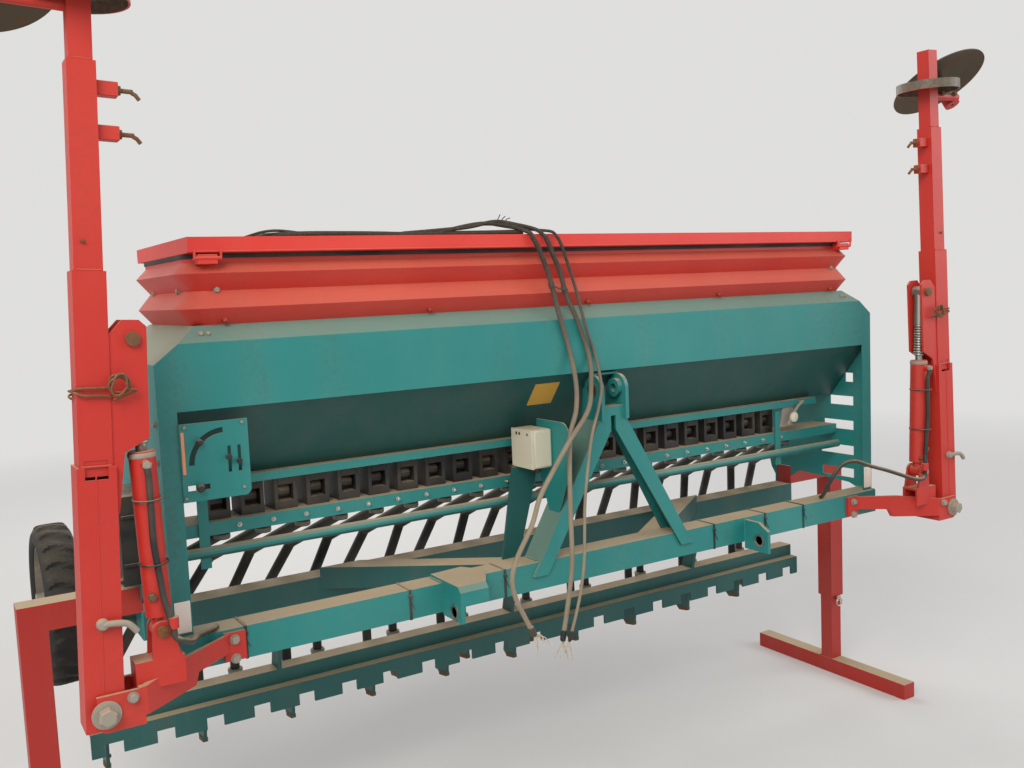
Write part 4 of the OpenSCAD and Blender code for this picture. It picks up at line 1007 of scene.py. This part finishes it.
class DRILL_OT_metering_fittings(bpy.types.Operator):
    """Adds the shutters of the metering units, the tube clips and the gearbox cover"""
    bl_idname = "drill.metering_fittings"
    bl_label = "Metering fittings"

    def units(self):
        shutters, screws = Form(), Form()
        low, high = solid_box("metering_units")
        front, top = low[1], high[2]
        for x in (i * UNIT_PITCH + UNIT_X for i in range(UNITS)):
            shutters.block([x - 20, front - 1.5, top - 44], [x + 20, front + 3, top - 14])
            shutters.tube([[x + 12, front - 1, top - 30], [x + 12, front - 10, top - 27],
                           [x + 12, front - 13, top - 18]], 2.2, 8)
            drum = [x - 4, front + 30, low[2] + 44]
            shutters.turned(drum, RIGHT, [(12, -16), (15, -14), (15, 20), (12, 22)], 10)
            for dx in (-24, 24):
                screws.bolt([x + dx, front, top - 8], FORE, 7, washer=False)
            screws.turned([x + 45, 154, 1095], FORE, [(6.5, -0.3), (6.5, 1.4), (4, 1.5), (4, 9), (3, 10)], 12)
        shutters.piece("unit_shutters", "frame", "black", bevel=0.7)
        screws.piece("unit_screws", "frame", "zinc")

    def clips(self):
        """Bands round the upper and the lower end of each seed tube."""
        form = Form()
        for i, (x, y) in enumerate(coulter_places()):
            form.turned([(i - ROW_MIDDLE) * TUBE_PITCH, 245, 1046], UP,
                        [(20.2, 0), (21.8, 1), (21.8, 11), (20.2, 12)], 20)
            form.turned([x, y, 488], UP, [(22.2, -9), (23.6, -8), (23.6, 0), (22.2, 1)], 20)
        form.piece("tube_clips", "frame", "dull")

    def gearbox(self):
        form = Form(side_place(SIDES["left"]))
        form.turned([1322, 345, 1075], RIGHT, [(48, -14), (48, 2), (42, 6), (18, 7), (18, 14), (0, 15)], 32)
        for y, z in ((262, 974), (428, 974), (262, 1176), (428, 1176)):
            form.bolt([1310, y, z], RIGHT, 15)
        for z in (1010, 1134):
            form.block([1255, 244, z], [1306, 446, z + 8])
        form.piece("gearbox_cover", "frame", "black", bevel=1.5)

    def execute(self, context):
        self.units()
        self.clips()
        self.gearbox()
        return {"FINISHED"}


class DRILL_OT_marker_fittings(bpy.types.Operator):
    """Adds the pins, clamp blocks, welds, cylinder hoses and rusty wires of both markers"""
    bl_idname = "drill.marker_fittings"
    bl_label = "Marker fittings"
    WIRE_Z = {"left": 662, "right": 695}
    KNOTS = {"left": (-48, -42, 690), "right": (-44, -42, 712)}

    def bracket(self, word, side):
        x, y, z = PIVOT
        bx, bz = SECOND_BOLT
        form = Form(side_place(side))
        form.bolt([x, y + 60, z], AFT, 34)
        form.bolt([bx, y + 52, bz], AFT, 17)
        pivot = Form(side_place(side)).turned([x, y - 52.2, z], FORE, [(30, 0), (30, 4), (26, 5)], 28)
        pivot.bolt([x, y - 57, z], FORE, 34)
        pivot.bolt([bx, y - 52, bz], FORE, 17)
        pivot.piece("pivot_bolt_" + word, "frame", "dull")
        for way in (-1, 1):
            form.turned(RAM_BASE + [0, way * 34, 0], [0, way, 0], [(13, -3), (13, 3), (9, 4), (0, 4.5)], 18)
        form.piece("bracket_bolts_" + word, "frame", "rusty" if side < 0 else "steel")

    def mast_pins(self, word, side):
        form, blocks = Form(mast_place(side)), Form(mast_place(side))
        for z in CLAMP_Z:
            blocks.block([-72, -15, z - 15], [-27.5, 15, z + 15])
            form.turned([-72, 0, z], LEFT, [(10, 0), (10, 6), (5, 7), (5, 30), (4, 31)], 12)
            form.tube([[-100, 0, z - 2], [-108, 0, z - 6], [-116, 2, z - 15]], 4.5)
        blocks.piece("clamp_blocks_" + word, "marker_" + word, "red", bevel=2)
        pin_end = [(15, -6), (15, 3), (9, 4), (0, 4)]
        for way in (-1, 1):
            form.turned(on_mast(RAM_EYE) + [0, way * 36, 0], [0, way, 0], pin_end, 18)
        form.bolt([10, -28, 985], FORE, 8, washer=False)
        form.piece("mast_bolts_" + word, "marker_" + word, "rusty")

    def lock_pin(self, word, side):
        form = Form(mast_place(side))
        start = np.array([0, -MAST_HALF - 8, 190.0])
        bend = [start, start + [side * 22, -6, 2], start + [side * 48, -8, -3], start + [side * 66, -8, -22]]
        form.tube(smooth_route(bend, 5), 7, 12)
        form.turned([0, -MAST_HALF, 190], FORE, [(13, -0.2), (13, 6), (9, 14), (0, 15)], 18)
        form.piece("lock_pin_" + word, "marker_" + word, "dull")

    def mast_welds(self, word, side):
        """Long seam x = 1 + 0.8 sin(z/7) up the mast's front, and a bead where each tube enters the next."""
        form = Form(mast_place(side))
        z = np.linspace(-30, 505, 60)
        form.tube(np.stack([1 + 0.8 * np.sin(z / 7), np.full(60, -MAST_HALF + 0.4), z], 1), 1.8, 6)
        for top, half, inner in MAST_TUBES:
            x = (half - 4) * inner / half
            form.tube(np.linspace([-x, -inner - 1, top + 1.5], [x, -inner - 1, top + 1.5], 16), 2.6, 6)
        form.piece("mast_welds_" + word, "marker_" + word, "red")

    def hub_bar(self, word, side):
        form = Form(mast_place(side))
        for x in (140, 70):
            form.turned([x, -9, 1469.5], FORE, [(9, -8), (9, 4), (7, 6)], 6)
        form.piece("hub_bar_nuts_" + word, "marker_" + word, "rusty")

    def wire(self, word, side):
        """Rusty wire wound twice round the mast, r = 38.5·sgn(cos)|cos|^0.3 across and deep, and its knot."""
        t = np.linspace(0, 4 * np.pi, 120)
        start = self.WIRE_Z[word]
        r = 38.5 + 1.2 * np.sin(3 * t)
        height = start + 1.6 * t + 5 * np.sin(1.3 * t)
        path = np.stack([r * squared(np.cos(t), 0.3), r * squared(np.sin(t), 0.3), height], 1)
        form = Form(mast_place(side)).tube(path, 2.6, 7)
        knot = np.array(self.KNOTS[word])
        k = np.linspace(0, 5 * np.pi, 90)
        wide = 17 + 4 * np.sin(2.3 * k)
        form.tube(knot + np.stack([wide * np.cos(k), -3 - 0.9 * k, (wide + 3) * np.sin(k)], 1), 2.4, 7)
        tail = [knot + [-14, -8, -10], knot + [-34, -4, -14], [-38, -37, start - 4]]
        form.tube(smooth_route(tail, 6), 2.6, 7)
        form.piece("wire_tie_" + word, "marker_" + word, "rusty")

    def cylinder(self, word, side):
        place, body = ram_place(side), "ram_" + word
        out = -RAM_R - 9
        path = [[-16, out - 12, 8], [-14, out - 5, 36], [-8, out, 70], [-3, out, 130], [2, out, 200],
                [0, out, 270], [-2, out - 1, 330], [0, out - 6, 352], [0, out - 6, 362]]
        Form(place).tube(smooth_route(path, 5), HOSE_D / 2, 12).piece("cylinder_hose_" + word, body, "hose")
        ties = Form(place)
        t = np.linspace(0, 2 * np.pi, 41)
        for z in (150, 290):
            loop = np.stack([(RAM_R + 1.5) * np.sin(t), -8 + (RAM_R + 10) * np.cos(t), np.full(41, z)], 1)
            ties.tube(loop, 2.2, 7)
        ties.piece("cylinder_ties_" + word, body, "black")
        bolts = Form(place).bolt([13, -24, 78], FORE, 15).bolt([-15, -22, 46], [-0.3, -1, 0], 11)
        bolts.piece("cylinder_bolts_" + word, body, "rusty")
        fittings = Form(place).turned([0, -RAM_R - 14, 368], FORE, [(10, -1), (10, 6), (7, 7), (7, 10)], 6)
        gland = [(RAM_R + 0.8, -6), (RAM_R + 1.5, -4), (RAM_R + 1.5, 3), (RAM_R - 2, 8.4)]
        fittings.turned([0, 0, 386], UP, gland, 32).piece("cylinder_fittings_" + word, body, "dull")

    def disc(self, word, side):
        """Five bolts and the cap on the disc's face, along the disc's own leaning axis."""
        axis = np.array([0, math.sin(DISC_TILT), math.cos(DISC_TILT)])
        centre = on_mast(DISC_HUB)
        form = Form(mast_place(side))
        for c, s in circle_of(5):
            across = DISC_BOLTS_R * (c * np.array(RIGHT) + s * np.cross(axis, RIGHT))
            form.bolt(centre + axis * DISC_FACE + across, axis, 13)
        form.turned(centre, axis, [(15, 112.5), (15, 121), (9, 124), (0, 124.5)], 20)
        form.piece("disc_bolts_" + word, "disc_" + word, "rusty")

    def execute(self, context):
        for word, side in SIDES.items():
            self.bracket(word, side)
            self.mast_pins(word, side)
            self.lock_pin(word, side)
            self.mast_welds(word, side)
            self.hub_bar(word, side)
            self.wire(word, side)
            self.cylinder(word, side)
            self.disc(word, side)
        return {"FINISHED"}


class DRILL_OT_stand_fittings(bpy.types.Operator):
    """Adds the rings of the stand pins, the pins of the stand arms and the weld beads"""
    bl_idname = "drill.stand_fittings"
    bl_label = "Stand fittings"
    ARM_X, ARM_LOW, ARM_TOP = 1479.5, 848, 917
    FOOT_TOP = 61

    def pin(self, word, side):
        """Ring in X and Z round (leg, 306), r = 16, on the head of the pin."""
        form = Form(side_place(side))
        t = np.linspace(0, 2 * np.pi, 33)
        form.tube(np.stack([LEG_X + 16 * np.sin(t), np.full(33, 374.0), 306 - 16 * np.cos(t)], 1), 2.4, 8)
        form.turned([LEG_X, 379, 321.7], FORE, [(11, 0), (11, 4), (6, 6)], 16)
        form.piece("stand_pin_" + word, "stand_" + word, "zinc")

    def arm(self, word, side):
        form = Form(side_place(side))
        form.turned([1300, LEG_Y, self.ARM_TOP], UP, [(9, -0.5), (9, 34), (13, 35), (13, 42), (10, 44)], 16)
        start, end = [self.ARM_X, 392, self.ARM_LOW], [self.ARM_X, 458, self.ARM_LOW]
        form.tube(weld_line(start, end, 24, 1, 0, 3), 3.2, 7)
        form.piece("stand_arm_pins_" + word, "frame", "rusty")

    def foot(self, word, side):
        form = Form(side_place(side))
        for y in (LEG_Y - 29, LEG_Y + 29):
            start, end = [LEG_X - 29, y, self.FOOT_TOP], [LEG_X + 29, y, self.FOOT_TOP]
            form.tube(weld_line(start, end, 20, 0, LEG_X, 2.5), 3.2, 7)
        form.piece("stand_welds_" + word, "stand_" + word, "red_leg")

    def execute(self, context):
        for word, side in SIDES.items():
            self.pin(word, side)
            self.arm(word, side)
            self.foot(word, side)
        return {"FINISHED"}


class DRILL_OT_land_wheel(bpy.types.Operator):
    """Makes the land wheel's tyre with its tread bars, the wheel bolts and the axle's nut"""
    bl_idname = "drill.land_wheel"
    bl_label = "Land wheel"
    SECTION, BOLTS_R = 61.5, 62
    ARM_BOLT = (-1296, 520, 800)

    def tyre(self, centre, radius, half, tread):
        """Section turned round the axle, t round the wheel and s round the section.

        x = half·flat(s) and r = middle + deep·up(s), where flat and up are cos s and sin s to powers
        below 1, which squares the section. On the crown r grows by tread·bar, bar being a steep step
        on cos 24(t - 0.11|flat|), set half a bar further on one side than on the other.
        """
        bead_r = radius - self.SECTION
        t = np.linspace(0, 2 * np.pi, 288, endpoint=False)[:, None]
        s = np.linspace(0, 2 * np.pi, 44, endpoint=False)[None]
        flat, up = squared(np.cos(s), 0.55), squared(np.sin(s), 0.7)
        phase = 24 * (t - 0.11 * np.abs(flat)) + np.where(flat > 0, 0, np.pi / 2)
        bar = 1 / (1 + np.exp(-14 * (np.cos(phase) - 0.15)))
        crown = np.clip((up - 0.72) / 0.12, 0, 1)
        r = (radius - tread + bead_r) / 2 + (radius - tread - bead_r) / 2 * up + tread * bar * crown
        x = centre[0] + (half - 1) * flat + 0 * t
        rings = np.stack([x, centre[1] + r * np.cos(t), centre[2] + r * np.sin(t)], -1)
        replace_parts(Form().rings(rings, closed=True).piece("tyre", "land_wheel", "tyre"), "wheel_tyre")

    def execute(self, context):
        low, high = solid_box("wheel_tyre")
        centre, (half, _, radius) = (low + high) / 2, (high - low) / 2
        self.tyre(centre, radius, half, context.scene.drill_fittings.tread_depth / MM)
        bolts = Form()
        for c, s in circle_of(5):
            bolts.bolt(centre + [-6, self.BOLTS_R * c, self.BOLTS_R * s], LEFT, 19)
        bolts.piece("wheel_bolts", "land_wheel", "rusty")
        nut = Form().turned(centre - [67, 0, 0], LEFT, [(20, 0), (20, 5), (12, 6), (12, 14), (0, 15)], 20)
        nut.bolt(self.ARM_BOLT, LEFT, 30).piece("axle_nut", "land_arm", "zinc")
        return {"FINISHED"}


class DRILL_OT_coulter_fittings(bpy.types.Operator):
    """Adds the coulters' wearing points and their bolts"""
    bl_idname = "drill.coulter_fittings"
    bl_label = "Coulter fittings"

    def execute(self, context):
        form = Form()
        half = 7.5
        for x, y in coulter_places():
            outline = ((-33, 344), (21, 336), (19, 322), (-32, 330))
            form.slab([[x - half, y + dy, z] for dy, z in outline], -2 * half)
            form.bolt([x + half, y + 2, 352], RIGHT, 10)
        form.piece("coulter_points", "frame", "rusty", bevel=1.0)
        return {"FINISHED"}


class DRILL_PT_panel(bpy.types.Panel):
    bl_label = "Seed drill"
    bl_idname = "DRILL_PT_panel"
    bl_space_type = "VIEW_3D"
    bl_region_type = "UI"
    bl_category = "Drill"

    def draw(self, context):
        layout = self.layout
        for group in (context.scene.drill_finish, context.scene.drill_fittings):
            for name in group.__annotations__:
                layout.prop(group, name)
        for operator in OPERATORS:
            layout.operator(operator.bl_idname)


OPERATORS = (DRILL_OT_paint, DRILL_OT_stage, DRILL_OT_cords, DRILL_OT_beam_line, DRILL_OT_bolts,
             DRILL_OT_lid_fittings, DRILL_OT_panel_fittings, DRILL_OT_metering_fittings,
             DRILL_OT_marker_fittings, DRILL_OT_stand_fittings, DRILL_OT_land_wheel,
             DRILL_OT_coulter_fittings)
CLASSES = (DrillFinish, DrillFittings, *OPERATORS, DRILL_PT_panel)


def register():
    for cls in CLASSES:
        bpy.utils.register_class(cls)
    bpy.types.Scene.drill_finish = PointerProperty(type=DrillFinish)
    bpy.types.Scene.drill_fittings = PointerProperty(type=DrillFittings)


def unregister():
    del bpy.types.Scene.drill_finish
    del bpy.types.Scene.drill_fittings
    for cls in reversed(CLASSES):
        bpy.utils.unregister_class(cls)


def main():
    register()
    for operator in OPERATORS:
        group, name = operator.bl_idname.split(".")
        getattr(getattr(bpy.ops, group), name)()


if __name__ == "__main__":
    main()
